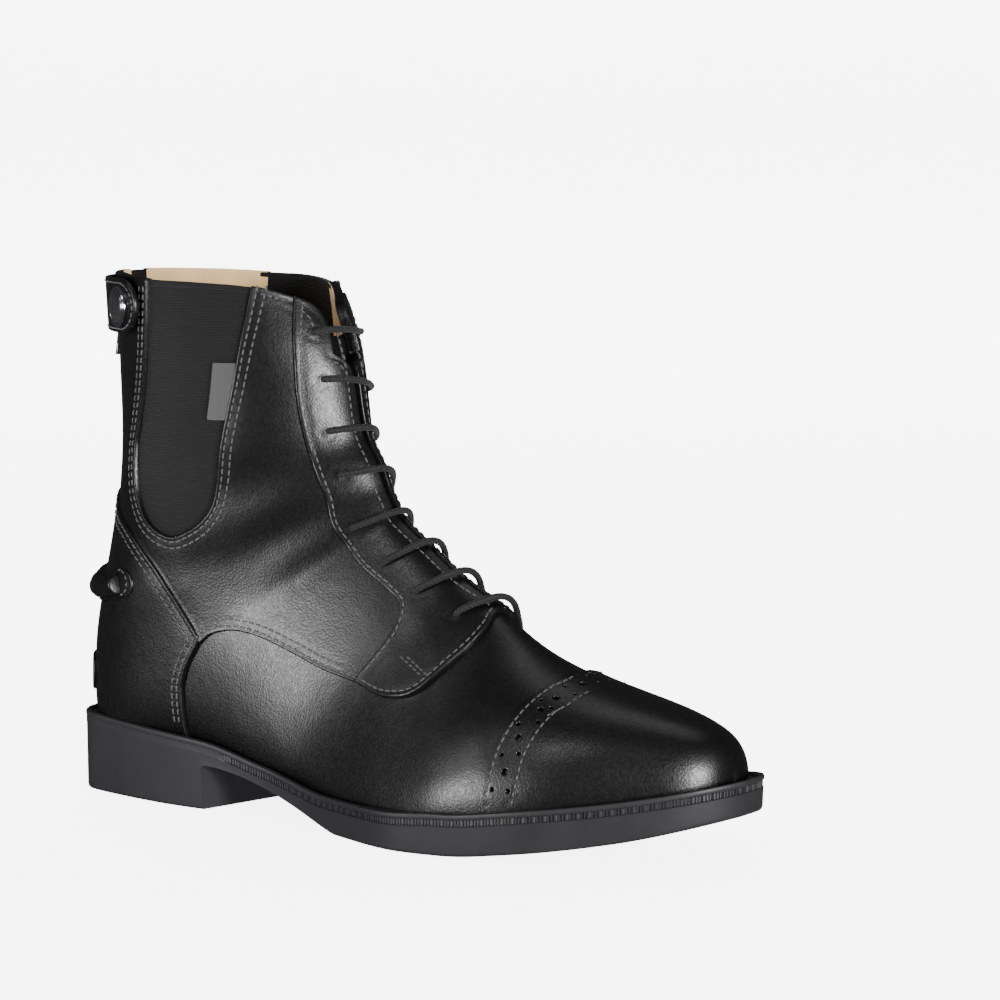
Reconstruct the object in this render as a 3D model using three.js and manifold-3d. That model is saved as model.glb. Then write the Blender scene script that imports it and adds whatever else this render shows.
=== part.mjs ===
// A right-foot lace-up paddock boot with elastic gores, a back zip and a snap strap.
// Millimetres. +X to the toe, +Y to the inner (medial) side, +Z up.
// The origin is the middle of the heel's tread, on the floor.
import * as THREE from 'three';
import Module from 'manifold-3d';

const wasm = await Module();
wasm.setup();

// Sole
const SOLE_LENGTH = 287;
const BALL_WIDTH = 97;
const HEEL_TO_ORIGIN = 35;
const HEEL_LIFT = 17;
const EDGE_DEPTH = 14;
const TOE_SPRING = 17;
const HEEL_TREAD = 70;
const BREAST_HEIGHT = 17;
const BREAST_ANGLE = 12;
const WAIST_SPAN = 72;
const BEAD_HEIGHT = 2;
const BEAD_RISE = 1.2;
const BEAD_WIDTH = 1.9;
const NOTCH_BAND = 2.2;
const NOTCH_DEPTH = 0.8;
const TREAD_DEPTH = 1.5;
const TREAD_GROOVE = 3;
const TREAD_PITCH = 11;
const TREAD_BORDER = 9;
const HEEL_NOTCH = 12;
const HEEL_NOTCH_PLACES = [0.26, 0.5, 0.74];

// Upper
const SHAFT_HEIGHT = 170;
const WALL = 2;
const QUARTER_STEP = 1.3;
const CLEARANCE = 0.3;
const OVERLAY = 1.3;
const FACING_THICKNESS = 1.2;
const COUNTER_THICKNESS = 1.8;
const INSOLE_THICKNESS = 3;
const TONGUE_THICKNESS = 1.8;
const TONGUE_WIDTH = 42;
const TONGUE_DROP = 10;
const GORE_THICKNESS = 1.4;
const THROAT_GAP = 2;
const EYELET_BORE = 3.4;
const EYELET_SETBACK = 11;
const LACE_DIAMETER = 2.5;
const LACE_SIDES = 6;
const LACE_STEPS = 4;

// Back of the shaft
const ZIP_SLIT = 10;
const ZIP_CHAIN = 5;
const ZIP_BOTTOM = 0.53;
const ZIP_SINK = 0.4;
const ZIP_TAPE_SINK = 1.2;
const ZIP_TAPE_THICKNESS = 1;
const SLIDER_WIDTH = 7;
const SLIDER_LENGTH = 12;
const SLIDER_THICKNESS = 2.8;
const PULL_LENGTH = 9;
const PULL_TOP_WIDTH = 5;
const PULL_FOOT_WIDTH = 8;
const PULL_THICKNESS = 1.1;
const PULL_EDGE = 1.1;
const BAIL_WIDTH = 1.6;
const BAIL_WALL = 0.8;
const BAIL_HOLE = 2.1;
const BAIL_RISE = 3.8;
const STRAP_THICKNESS = 2.2;
const STRAP_WIDTH = 20.5;
const STRAP_DROP = 2.8;
const STRAP_OUTER_END = 0.169;
const STRAP_INNER_END = 0.146;
const STRAP_SEWN_LENGTH = 10;
const SNAP_DIAMETER = 15;
const SNAP_RING_WIDTH = 1.8;
const SNAP_RING_HEIGHT = 1.2;
const SNAP_DOME = 1.6;
const SNAP_SIDES = 16;
const SPUR_DIAMETER = 8;
const SPUR_STAND = 5;
const HEEL_TAB_WIDTH = 42;
const HEEL_TAB_RISE = 8;
const HEEL_TAB_HEIGHT = 15;
const HEEL_TAB_THICKNESS = 0.9;
const LABEL_WIDTH = 10;
const LABEL_HEIGHT = 21;
const LABEL_THICKNESS = 0.6;
const LABEL_LEAN = 2.6;

// Smoothness of the facets
const LAST_RINGS = 22;
const LAST_SIDES = 24;
const SOLE_STATIONS = 26;
const FAR = 400;

// Rows of numbers as objects with named columns.
function table(columns, rows) {
  return rows.map((row) => Object.fromEntries(columns.map((name, i) => [name, row[i]])));
}

// The sole's outline at its rim: shares of its length, and of the ball width to each side.
const SOLE_OUTLINE = [
  { at: 0, outer: 0.07, inner: 0.07 },
  { at: 0.004, outer: 0.16, inner: 0.155 },
  { at: 0.018, outer: 0.235, inner: 0.225 },
  { at: 0.045, outer: 0.272, inner: 0.265 },
  { at: 0.091, outer: 0.302, inner: 0.3 },
  { at: 0.162, outer: 0.334, inner: 0.328 },
  { at: 0.243, outer: 0.342, inner: 0.325 },
  { at: 0.344, outer: 0.336, inner: 0.3 },
  { at: 0.465, outer: 0.423, inner: 0.306 },
  { at: 0.586, outer: 0.544, inner: 0.385 },
  { at: 0.677, outer: 0.528, inner: 0.45 },
  { at: 0.768, outer: 0.485, inner: 0.47 },
  { at: 0.849, outer: 0.388, inner: 0.446 },
  { at: 0.909, outer: 0.299, inner: 0.388 },
  { at: 0.947, outer: 0.232, inner: 0.316 },
  { at: 0.976, outer: 0.148, inner: 0.235 },
  { at: 0.993, outer: 0.066, inner: 0.16 },
  { at: 1, outer: 0, inner: 0.095 },
];

// Heights along the sole: shares of the heel lift, the edge depth and the toe spring.
const SOLE_HEIGHTS = [
  { at: 0, lift: 1, edge: 1, spring: 0 },
  { at: 0.121, lift: 0.88, edge: 1, spring: 0 },
  { at: 0.243, lift: 0.72, edge: 1, spring: 0 },
  { at: 0.344, lift: 0.32, edge: 1, spring: 0 },
  { at: 0.465, lift: 0, edge: 0.97, spring: 0 },
  { at: 0.586, lift: 0, edge: 1, spring: 0 },
  { at: 0.667, lift: 0, edge: 1.1, spring: 0 },
  { at: 0.758, lift: 0, edge: 1.11, spring: 0.16 },
  { at: 0.879, lift: 0, edge: 1.05, spring: 0.48 },
  { at: 1, lift: 0, edge: 0.9, spring: 1 },
];

// The side of the sole from its tread up to the bed: millimetres in from the outline, and up.
const SOLE_SIDE = [
  { inset: 1.4, from: 'tread', up: 0 },
  { inset: 0.5, from: 'tread', up: 1.4 },
  { inset: 0.2, from: 'rim', up: -BEAD_HEIGHT - NOTCH_BAND - 0.3 },
  { inset: NOTCH_DEPTH, from: 'rim', up: -BEAD_HEIGHT - NOTCH_BAND },
  { inset: NOTCH_DEPTH, from: 'rim', up: -BEAD_HEIGHT - 0.2 },
  { inset: 0, from: 'rim', up: -BEAD_HEIGHT },
  { inset: 0, from: 'rim', up: -0.6 },
  { inset: 0.6, from: 'rim', up: 0 },
  { inset: BEAD_WIDTH, from: 'rim', up: 0 },
  { inset: BEAD_WIDTH + 0.5, from: 'rim', up: -BEAD_RISE },
];

// The hollow under the waist, from the heel's breast to the ball: shares of its span and height.
const WAIST_ARCH = [
  { at: 0, up: 0.93 },
  { at: 0.03, up: 1 },
  { at: 0.2, up: 0.9 },
  { at: 0.42, up: 0.66 },
  { at: 0.65, up: 0.385 },
  { at: 0.84, up: 0.16 },
  { at: 1, up: 0 },
];

// Sections of the last from the toe to the collar. Each lies across the boot, from a point on the
// top or front (top, rise) to one on the bottom or back (foot, fall). Lengths are shares of the
// sole's length, rises shares of the shaft height above the bed, and widths shares of the ball width.
// widest is how far down the section its broadest point lies; crown and skirt are how square it is
// above and below that point.
const LAST_SECTIONS = table(
  ['top', 'rise', 'foot', 'fall', 'outer', 'inner', 'shift', 'widest', 'crown', 'skirt'],
  [
    [0.973, 0.027, 0.973, -0.03, 0.03, 0.03, 0.05, 0.6, 2.2, 2.6],
    [0.968, 0.056, 0.967, -0.047, 0.095, 0.095, 0.05, 0.62, 2.2, 2.8],
    [0.957, 0.088, 0.954, -0.06, 0.156, 0.158, 0.05, 0.66, 2.2, 3],
    [0.936, 0.118, 0.93, -0.066, 0.216, 0.225, 0.042, 0.7, 2.2, 3],
    [0.905, 0.147, 0.891, -0.068, 0.276, 0.3, 0.032, 0.72, 2.2, 3],
    [0.868, 0.176, 0.843, -0.07, 0.344, 0.366, 0.021, 0.75, 2.2, 3],
    [0.823, 0.209, 0.777, -0.073, 0.423, 0.414, 0.01, 0.78, 2.1, 3],
    [0.774, 0.245, 0.697, -0.071, 0.472, 0.412, 0.005, 0.8, 2, 3],
    [0.724, 0.289, 0.613, -0.068, 0.49, 0.387, 0, 0.82, 1.9, 3],
    [0.676, 0.347, 0.529, -0.066, 0.455, 0.325, 0, 0.82, 1.75, 3],
    [0.629, 0.407, 0.439, -0.066, 0.39, 0.282, 0, 0.8, 1.7, 2.8],
    [0.579, 0.456, 0.349, -0.074, 0.333, 0.274, 0, 0.76, 1.65, 2.6],
    [0.533, 0.513, 0.244, -0.087, 0.318, 0.288, 0, 0.72, 1.65, 2.5],
    [0.495, 0.563, 0.132, -0.084, 0.315, 0.303, 0, 0.66, 1.65, 2.4],
    [0.473, 0.609, 0.033, -0.065, 0.322, 0.317, 0, 0.62, 1.65, 2.6],
    [0.458, 0.662, 0.013, 0.051, 0.33, 0.325, 0, 0.58, 1.65, 2.6],
    [0.443, 0.707, 0.015, 0.157, 0.346, 0.337, 0, 0.55, 1.65, 2.5],
    [0.427, 0.748, 0.025, 0.265, 0.358, 0.349, 0, 0.52, 1.65, 2.25],
    [0.417, 0.795, 0.036, 0.384, 0.366, 0.361, 0, 0.49, 1.65, 2],
    [0.411, 0.846, 0.045, 0.503, 0.376, 0.371, 0, 0.48, 1.65, 1.9],
    [0.404, 0.9, 0.048, 0.639, 0.373, 0.373, 0, 0.472, 1.65, 1.8],
    [0.393, 0.955, 0.047, 0.774, 0.384, 0.384, 0, 0.47, 1.65, 1.8],
    [0.377, 1.008, 0.045, 0.898, 0.389, 0.389, 0, 0.47, 1.65, 1.8],
    [0.364, 1.061, 0.042, 1.03, 0.389, 0.389, 0, 0.469, 1.65, 1.8],
  ],
);

// Lines drawn on the boot as seen from the side: a share of the sole's length, and a rise above
// the bed as a share of the shaft height.
const COLLAR_LINE = [
  { at: -0.101, rise: 1.008 },
  { at: 0.101, rise: 1.008 },
  { at: 0.174, rise: 1.01 },
  { at: 0.243, rise: 1.018 },
  { at: 0.306, rise: 1.034 },
  { at: 0.337, rise: 1.032 },
  { at: 0.361, rise: 1.018 },
  { at: 0.377, rise: 0.995 },
  { at: 0.388, rise: 0.965 },
  { at: 0.396, rise: 0.92 },
];
const HEM_LINE = [
  { at: 0.238, rise: 0.214 },
  { at: 0.246, rise: 0.23 },
  { at: 0.26, rise: 0.25 },
  { at: 0.292, rise: 0.273 },
  { at: 0.333, rise: 0.281 },
  { at: 0.382, rise: 0.271 },
  { at: 0.431, rise: 0.258 },
  { at: 0.486, rise: 0.242 },
  { at: 0.526, rise: 0.222 },
  { at: 0.563, rise: 0.222 },
  { at: 0.585, rise: 0.235 },
  { at: 0.602, rise: 0.259 },
  { at: 0.621, rise: 0.295 },
  { at: 0.636, rise: 0.325 },
  { at: 0.644, rise: 0.362 },
  { at: 0.642, rise: 0.385 },
  { at: 0.635, rise: 0.45 },
];
const FACING_LINE = [
  { at: 0.344, rise: 1.1 },
  { at: 0.351, rise: 1.023 },
  { at: 0.362, rise: 0.92 },
  { at: 0.368, rise: 0.832 },
  { at: 0.375, rise: 0.756 },
  { at: 0.383, rise: 0.696 },
  { at: 0.401, rise: 0.633 },
  { at: 0.416, rise: 0.557 },
  { at: 0.454, rise: 0.49 },
  { at: 0.5, rise: 0.438 },
  { at: 0.522, rise: 0.408 },
  { at: 0.524, rise: 0.374 },
  { at: 0.516, rise: 0.329 },
  { at: 0.483, rise: 0.243 },
];
const COUNTER_LINE = [
  { at: -0.101, rise: 0.54 },
  { at: 0.056, rise: 0.515 },
  { at: 0.09, rise: 0.473 },
  { at: 0.131, rise: 0.44 },
  { at: 0.17, rise: 0.384 },
  { at: 0.197, rise: 0.329 },
  { at: 0.221, rise: 0.275 },
  { at: 0.238, rise: 0.236 },
  { at: 0.236, rise: 0.216 },
  { at: 0.221, rise: 0.171 },
  { at: 0.212, rise: 0.13 },
  { at: 0.209, rise: 0.086 },
  { at: 0.209, rise: -0.1 },
];
const CAP_LINE = [
  { at: 0.719, rise: -0.1 },
  { at: 0.719, rise: 0.015 },
  { at: 0.723, rise: 0.082 },
  { at: 0.726, rise: 0.134 },
  { at: 0.734, rise: 0.188 },
  { at: 0.743, rise: 0.221 },
  { at: 0.753, rise: 0.244 },
  { at: 0.761, rise: 0.258 },
  { at: 0.765, rise: 0.33 },
];
const GORE_LINE = [
  { at: 0.177, rise: 1.2 },
  { at: 0.176, rise: 0.995 },
  { at: 0.165, rise: 0.838 },
  { at: 0.141, rise: 0.676 },
  { at: 0.135, rise: 0.625 },
  { at: 0.137, rise: 0.548 },
  { at: 0.15, rise: 0.499 },
  { at: 0.171, rise: 0.465 },
  { at: 0.203, rise: 0.449 },
  { at: 0.232, rise: 0.47 },
  { at: 0.254, rise: 0.501 },
  { at: 0.269, rise: 0.544 },
  { at: 0.278, rise: 0.61 },
  { at: 0.284, rise: 0.672 },
  { at: 0.306, rise: 0.889 },
  { at: 0.312, rise: 1.01 },
  { at: 0.314, rise: 1.2 },
];
const TONGUE_BACK_LINE = [
  { at: 0.328, rise: 0.93 },
  { at: 0.359, rise: 0.78 },
  { at: 0.389, rise: 0.66 },
  { at: 0.434, rise: 0.54 },
  { at: 0.505, rise: 0.42 },
  { at: 0.586, rise: 0.34 },
  { at: 0.667, rise: 0.26 },
];

// The lace's eight bars: the rows of the last's sections that their two eyelets lie on, and how
// far they arch up in the middle.
const LACE_BARS = table(['outer', 'inner', 'arch'], [
  [21.16, 21.05, 0],
  [19.58, 19.1, 0],
  [17.67, 17.15, 0.1],
  [15.86, 15, 0.3],
  [14.02, 13.1, 0.5],
  [12.44, 11.7, 0.9],
  [11.38, 10.5, 1.5],
  [10.23, 9.5, 1.2],
]);

// Places on the last: a row of its sections, and a turn in degrees from the front down the outer side.
const SNAP_PLACE = { row: 22.24, turn: 123.5 };
const SPUR_END = { row: 16.55, turn: 117 };
const SPUR_BACK_ROW = 17.5;

// The label's middle on the outer gore, as a share of the length and a rise above the bed.
const LABEL_PLACE = { at: 0.282, rise: 0.795 };

const lengthwise = (share) => share * SOLE_LENGTH - HEEL_TO_ORIGIN;

// A smooth value between the rows of a table, by row number.
function blend(rows, column, place) {
  const last = rows.length - 1;
  const index = Math.min(Math.max(Math.floor(place), 0), last - 1);
  const t = place - index;
  const value = (i) => rows[Math.min(Math.max(i, 0), last)][column];
  const start = value(index);
  const end = value(index + 1);
  const slopeStart = index === 0 ? end - start : (end - value(index - 1)) / 2;
  const slopeEnd = index === last - 1 ? end - start : (value(index + 2) - start) / 2;
  const rest = 1 - t;
  return start * (1 + 2 * t) * rest * rest + slopeStart * t * rest * rest
    + end * t * t * (3 - 2 * t) - slopeEnd * t * t * rest;
}

// A smooth value along a table whose "at" column rises.
function along(rows, column, at) {
  const last = rows.length - 1;
  let index = 0;
  while (index < last - 1 && rows[index + 1].at < at) {
    index += 1;
  }
  const slope = (i) => (rows[i + 1][column] - rows[i][column]) / (rows[i + 1].at - rows[i].at);
  const tangent = (i) => {
    if (i === 0 || i === last) {
      return slope(Math.min(i, last - 1));
    }
    const before = slope(i - 1);
    const after = slope(i);
    return before * after <= 0 ? 0 : (2 * before * after) / (before + after);
  };
  const span = rows[index + 1].at - rows[index].at;
  const t = Math.min(Math.max((at - rows[index].at) / span, 0), 1);
  const rest = 1 - t;
  return rows[index][column] * (1 + 2 * t) * rest * rest + tangent(index) * span * t * rest * rest
    + rows[index + 1][column] * t * t * (3 - 2 * t) - tangent(index + 1) * span * t * t * rest;
}

const treadHeight = (at) => TOE_SPRING * along(SOLE_HEIGHTS, 'spring', at);
const rimHeight = (at) => treadHeight(at) + HEEL_LIFT * along(SOLE_HEIGHTS, 'lift', at)
  + EDGE_DEPTH * along(SOLE_HEIGHTS, 'edge', at);
const bedHeight = (at) => rimHeight(Math.min(Math.max(at, 0), 1)) - BEAD_RISE;

// A point of a side view, from its share of the length and its rise above the bed.
function sidePoint({ at, rise }) {
  return new THREE.Vector2(lengthwise(at), bedHeight(at) + rise * SHAFT_HEIGHT);
}

function toManifold(geometry) {
  const positions = geometry.attributes.position.array;
  const index = geometry.index.array;
  return new wasm.Manifold(new wasm.Mesh({
    numProp: 3,
    vertProperties: new Float32Array(positions),
    triVerts: new Uint32Array(index),
  }));
}

function toGeometry(manifold) {
  const { vertProperties, triVerts } = manifold.getMesh();
  const geometry = new THREE.BufferGeometry();
  geometry.setAttribute('position', new THREE.BufferAttribute(new Float32Array(vertProperties), 3));
  geometry.setIndex(new THREE.BufferAttribute(new Uint32Array(triVerts), 1));
  return geometry;
}

// A three.js geometry with its doubled vertices merged, so that it is one closed mesh.
function weld(geometry) {
  const source = geometry.attributes.position;
  const order = geometry.index ? geometry.index.array : Array.from({ length: source.count }, (_, i) => i);
  const places = new Map();
  const points = [];
  const triangles = [];
  const numberOf = (i) => {
    const point = [source.getX(i), source.getY(i), source.getZ(i)];
    const key = point.map((value) => Math.round(value * 1e4)).join(' ');
    if (!places.has(key)) {
      places.set(key, points.length / 3);
      points.push(...point);
    }
    return places.get(key);
  };
  for (let i = 0; i < order.length; i += 3) {
    const corner = [numberOf(order[i]), numberOf(order[i + 1]), numberOf(order[i + 2])];
    if (new Set(corner).size === 3) {
      triangles.push(...corner);
    }
  }
  const welded = new THREE.BufferGeometry();
  welded.setAttribute('position', new THREE.Float32BufferAttribute(points, 3));
  welded.setIndex(triangles);
  return welded;
}

const solidOf = (geometry) => toManifold(weld(geometry));

// A closed solid through rings of points, each ring in the same order.
function skinRings(rings) {
  const sides = rings[0].length;
  const points = rings.flat();
  const triangles = [];
  const at = (ring, side) => ring * sides + (side % sides);
  for (let ring = 0; ring < rings.length - 1; ring += 1) {
    for (let side = 0; side < sides; side += 1) {
      triangles.push(at(ring, side), at(ring + 1, side), at(ring + 1, side + 1));
      triangles.push(at(ring, side), at(ring + 1, side + 1), at(ring, side + 1));
    }
  }
  for (const [ring, flip] of [[0, false], [rings.length - 1, true]]) {
    const middle = new THREE.Vector3();
    rings[ring].forEach((point) => middle.addScaledVector(point, 1 / sides));
    points.push(middle);
    for (let side = 0; side < sides; side += 1) {
      const pair = [at(ring, side), at(ring, side + 1)];
      triangles.push(points.length - 1, ...(flip ? pair.reverse() : pair));
    }
  }
  const geometry = new THREE.BufferGeometry().setFromPoints(points);
  geometry.setIndex(triangles);
  return geometry;
}

// A flat outline seen from the side, as a prism across the boot.
function sidePrism(outline, from = -FAR, to = FAR) {
  const depth = to - from;
  const geometry = new THREE.ExtrudeGeometry(new THREE.Shape(outline), { depth, bevelEnabled: false });
  geometry.rotateX(Math.PI / 2);
  geometry.translate(0, to, 0);
  return solidOf(geometry);
}

// A box between two corners, each [x, y, z].
function block(low, high) {
  const geometry = new THREE.BoxGeometry(...high.map((value, i) => value - low[i]));
  geometry.translate(...high.map((value, i) => (value + low[i]) / 2));
  return solidOf(geometry);
}

// A point on the last's surface: section is a row number, turn runs from the top or front,
// down the outer side, to the bottom or back and up the inner side.
function lastPoint(section, turn) {
  const value = (column) => blend(LAST_SECTIONS, column, section);
  const top = sidePoint({ at: value('top'), rise: value('rise') });
  const foot = sidePoint({ at: value('foot'), rise: value('fall') });
  const upright = Math.cos(turn);
  const across = Math.sin(turn);
  const power = 2 / (upright >= 0 ? value('crown') : value('skirt'));
  const widest = value('widest');
  const reach = (upright >= 0 ? widest : 1 - widest) * Math.abs(upright) ** power;
  const down = widest - Math.sign(upright) * reach;
  const width = BALL_WIDTH * (across >= 0 ? value('outer') : value('inner')) * Math.abs(across) ** power;
  const y = BALL_WIDTH * value('shift') - Math.sign(across) * width;
  const point = top.lerp(foot, down);
  return new THREE.Vector3(point.x, y, point.y);
}

// The way out of the last at a point of its surface.
function lastNormal(section, turn) {
  const step = 0.03;
  const lastRow = LAST_SECTIONS.length - 1;
  const before = lastPoint(Math.max(section - step, 0), turn);
  const lengthways = lastPoint(Math.min(section + step, lastRow), turn).sub(before);
  const around = lastPoint(section, turn + step).sub(lastPoint(section, turn - step));
  return lengthways.cross(around).normalize();
}

function offsetPoint(section, turn, offset) {
  return lastPoint(section, turn).addScaledVector(lastNormal(section, turn), offset);
}

// The last as a solid, grown or shrunk by an offset. A shrunk one starts a section further back,
// which leaves the wall's thickness at the toe.
const lastSolids = new Map();
function lastSolid(offset) {
  if (!lastSolids.has(offset)) {
    const first = offset < 0 ? 1 : 0;
    const lastRow = LAST_SECTIONS.length - 1;
    const rings = [];
    for (let ring = 0; ring <= LAST_RINGS; ring += 1) {
      const section = first + ((lastRow - first) * ring) / LAST_RINGS;
      const points = [];
      for (let side = 0; side < LAST_SIDES; side += 1) {
        points.push(offsetPoint(section, (side / LAST_SIDES) * Math.PI * 2, offset));
      }
      rings.push(points);
    }
    lastSolids.set(offset, toManifold(skinRings(rings)));
  }
  return lastSolids.get(offset);
}

const skin = (outside, inside) => lastSolid(outside).subtract(lastSolid(inside));

// Everything above the bed, lifted by a given amount.
function aboveBed(lift) {
  const outline = [];
  const steps = 30;
  for (let step = 0; step <= steps; step += 1) {
    const at = step / steps;
    outline.push(new THREE.Vector2(lengthwise(at), bedHeight(at) + lift));
  }
  outline[0].x -= FAR;
  outline[steps].x += FAR;
  outline.push(new THREE.Vector2(FAR * 2, FAR), new THREE.Vector2(-FAR * 2, FAR));
  return sidePrism(outline);
}

const collarPoints = COLLAR_LINE.map(sidePoint);
const belowCollar = sidePrism([
  ...collarPoints,
  new THREE.Vector2(collarPoints.at(-1).x + 6, collarPoints.at(-1).y),
  new THREE.Vector2(FAR, collarPoints.at(-1).y),
  new THREE.Vector2(FAR, -FAR),
  new THREE.Vector2(-FAR, -FAR),
]);

const hemPoints = HEM_LINE.map(sidePoint);
const counterPoints = COUNTER_LINE.map(sidePoint);
const junction = COUNTER_LINE.findIndex((row) => row.rise < HEM_LINE[0].rise + 0.01);

// The quarters and shaft: above the hem and in front of the counter.
const quarterRegion = sidePrism([
  ...counterPoints.slice(0, junction),
  ...hemPoints,
  new THREE.Vector2(hemPoints.at(-1).x, FAR),
  new THREE.Vector2(counterPoints[0].x, FAR),
]);

const facingRegion = sidePrism([
  ...FACING_LINE.map(sidePoint),
  ...hemPoints.slice(HEM_LINE.findIndex((row) => row.at > FACING_LINE.at(-1).at)),
  new THREE.Vector2(hemPoints.at(-1).x, FAR),
  new THREE.Vector2(sidePoint(FACING_LINE[0]).x, FAR),
]);

const counterRegion = sidePrism([
  ...counterPoints.map((point) => new THREE.Vector2(point.x - 1.6 * CLEARANCE, point.y)),
  new THREE.Vector2(counterPoints[0].x, counterPoints.at(-1).y),
]);

const capRegion = sidePrism([
  ...CAP_LINE.map(sidePoint),
  new THREE.Vector2(FAR, FAR),
  new THREE.Vector2(FAR, -FAR),
]);

// The gore's U, shrunk by a margin all round.
function goreRegion(margin) {
  const points = GORE_LINE.map(sidePoint);
  const middle = new THREE.Vector2((points[0].x + points.at(-1).x) / 2, points[0].y);
  const outline = points.map((point) => {
    const inward = new THREE.Vector2().subVectors(middle, point);
    inward.y = Math.max(0, (points[7].y + (points[14].y - points[7].y) * 0.35) - point.y);
    return point.clone().addScaledVector(inward.normalize(), margin);
  });
  return sidePrism(outline);
}

const zipBottom = bedHeight(0) + ZIP_BOTTOM * SHAFT_HEIGHT;
const backHalf = lengthwise(0.2);
const zipSlit = block([-FAR, -ZIP_SLIT / 2, zipBottom], [backHalf, ZIP_SLIT / 2, FAR]);
const throatSlit = sidePrism(
  [
    ...TONGUE_BACK_LINE.map(sidePoint),
    ...[HEM_LINE.at(-2), HEM_LINE.at(-1)].map(({ at, rise }) => sidePoint({ at: at - 0.012, rise })),
    new THREE.Vector2(hemPoints.at(-1).x, FAR),
    new THREE.Vector2(sidePoint(TONGUE_BACK_LINE[0]).x, FAR),
  ],
  -THROAT_GAP / 2,
  THROAT_GAP / 2,
);

const group = new THREE.Group();
function add(name, geometryOrSolid, material) {
  const geometry = geometryOrSolid.isBufferGeometry ? geometryOrSolid : toGeometry(geometryOrSolid);
  const mesh = new THREE.Mesh(geometry, material());
  mesh.name = name;
  group.add(mesh);
  return mesh;
}

const finish = (color, roughness, metalness = 0) => () => (
  new THREE.MeshStandardMaterial({ color, roughness, metalness })
);
const blackLeather = finish('#17171a', 0.42);
const blackRubber = finish('#343437', 0.7);
const elastic = finish('#1d1d1e', 0.85);
const laceCord = finish('#201f1e', 0.7);
const liningLeather = finish('#c9ae86', 0.75);
const blackZip = finish('#1b1b1c', 0.5);
const blackEnamel = finish('#232122', 0.2);
const chrome = finish('#c4c6c8', 0.15, 1);
const labelWeave = finish('#8c8c8c', 0.8);

// Sole

function outlinePoint(station, side) {
  const y = BALL_WIDTH * blend(SOLE_OUTLINE, side > 0 ? 'inner' : 'outer', station) * side;
  return new THREE.Vector2(blend(SOLE_OUTLINE, 'at', station) * SOLE_LENGTH, y);
}

// The outline as a loop: forward along the outer side and back along the inner one.
function soleOutline() {
  const lastRow = SOLE_OUTLINE.length - 1;
  const places = Array.from({ length: SOLE_STATIONS + 1 }, (_, i) => (i / SOLE_STATIONS) * lastRow);
  return [
    ...places.map((place) => outlinePoint(place, -1)),
    ...places.reverse().map((place) => outlinePoint(place, 1)),
  ];
}

function insetLoop(loop, inset) {
  return loop.map((point, i) => {
    const before = loop[(i + loop.length - 1) % loop.length];
    const after = loop[(i + 1) % loop.length];
    const inward = new THREE.Vector2(before.y - after.y, after.x - before.x).normalize();
    return point.clone().addScaledVector(inward, inset);
  });
}

function soleBody() {
  const loop = soleOutline();
  const rings = SOLE_SIDE.map(({ inset, from, up }) => insetLoop(loop, inset).map((point) => {
    const at = point.x / SOLE_LENGTH;
    const height = (from === 'rim' ? rimHeight(at) : treadHeight(at)) + up;
    return new THREE.Vector3(point.x - HEEL_TO_ORIGIN, point.y, height);
  }));
  const sides = loop.length;
  const triangles = [];
  const corner = (ring, side) => ring * sides + (side % sides);
  for (let ring = 0; ring < rings.length - 1; ring += 1) {
    for (let side = 0; side < sides; side += 1) {
      triangles.push(corner(ring, side), corner(ring, side + 1), corner(ring + 1, side + 1));
      triangles.push(corner(ring, side), corner(ring + 1, side + 1), corner(ring + 1, side));
    }
  }
  for (let station = 0; station < SOLE_STATIONS; station += 1) {
    const outer = [station, station + 1];
    const inner = [sides - 1 - station, sides - 2 - station];
    const top = rings.length - 1;
    triangles.push(outer[0], inner[1], outer[1], outer[0], inner[0], inner[1]);
    triangles.push(corner(top, outer[0]), corner(top, outer[1]), corner(top, inner[1]));
    triangles.push(corner(top, outer[0]), corner(top, inner[1]), corner(top, inner[0]));
  }
  const geometry = new THREE.BufferGeometry().setFromPoints(rings.flat());
  geometry.setIndex(triangles);
  return toManifold(geometry);
}

// The arch under the waist, cut straight across and skewed to the heel's breast.
function waistCut() {
  const start = HEEL_TREAD - HEEL_TO_ORIGIN;
  const arch = new THREE.SplineCurve(WAIST_ARCH.map(({ at, up }) => (
    new THREE.Vector2(start + at * WAIST_SPAN, up * BREAST_HEIGHT)
  )));
  const below = -EDGE_DEPTH;
  const outline = [new THREE.Vector2(start, below), ...arch.getPoints(14)];
  outline.push(new THREE.Vector2(start + WAIST_SPAN + 6, below));
  const depth = 2 * BALL_WIDTH;
  const geometry = new THREE.ExtrudeGeometry(new THREE.Shape(outline), { depth, bevelEnabled: false });
  geometry.rotateX(Math.PI / 2);
  geometry.translate(0, BALL_WIDTH, 0);
  const skew = Math.tan(THREE.MathUtils.degToRad(BREAST_ANGLE));
  const outerBreast = along(SOLE_OUTLINE, 'outer', HEEL_TREAD / SOLE_LENGTH) * BALL_WIDTH;
  const shear = new THREE.Matrix4().makeShear(0, 0, skew, 0, 0, 0);
  geometry.applyMatrix4(shear.setPosition(outerBreast * skew, 0, 0));
  return solidOf(geometry);
}

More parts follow.
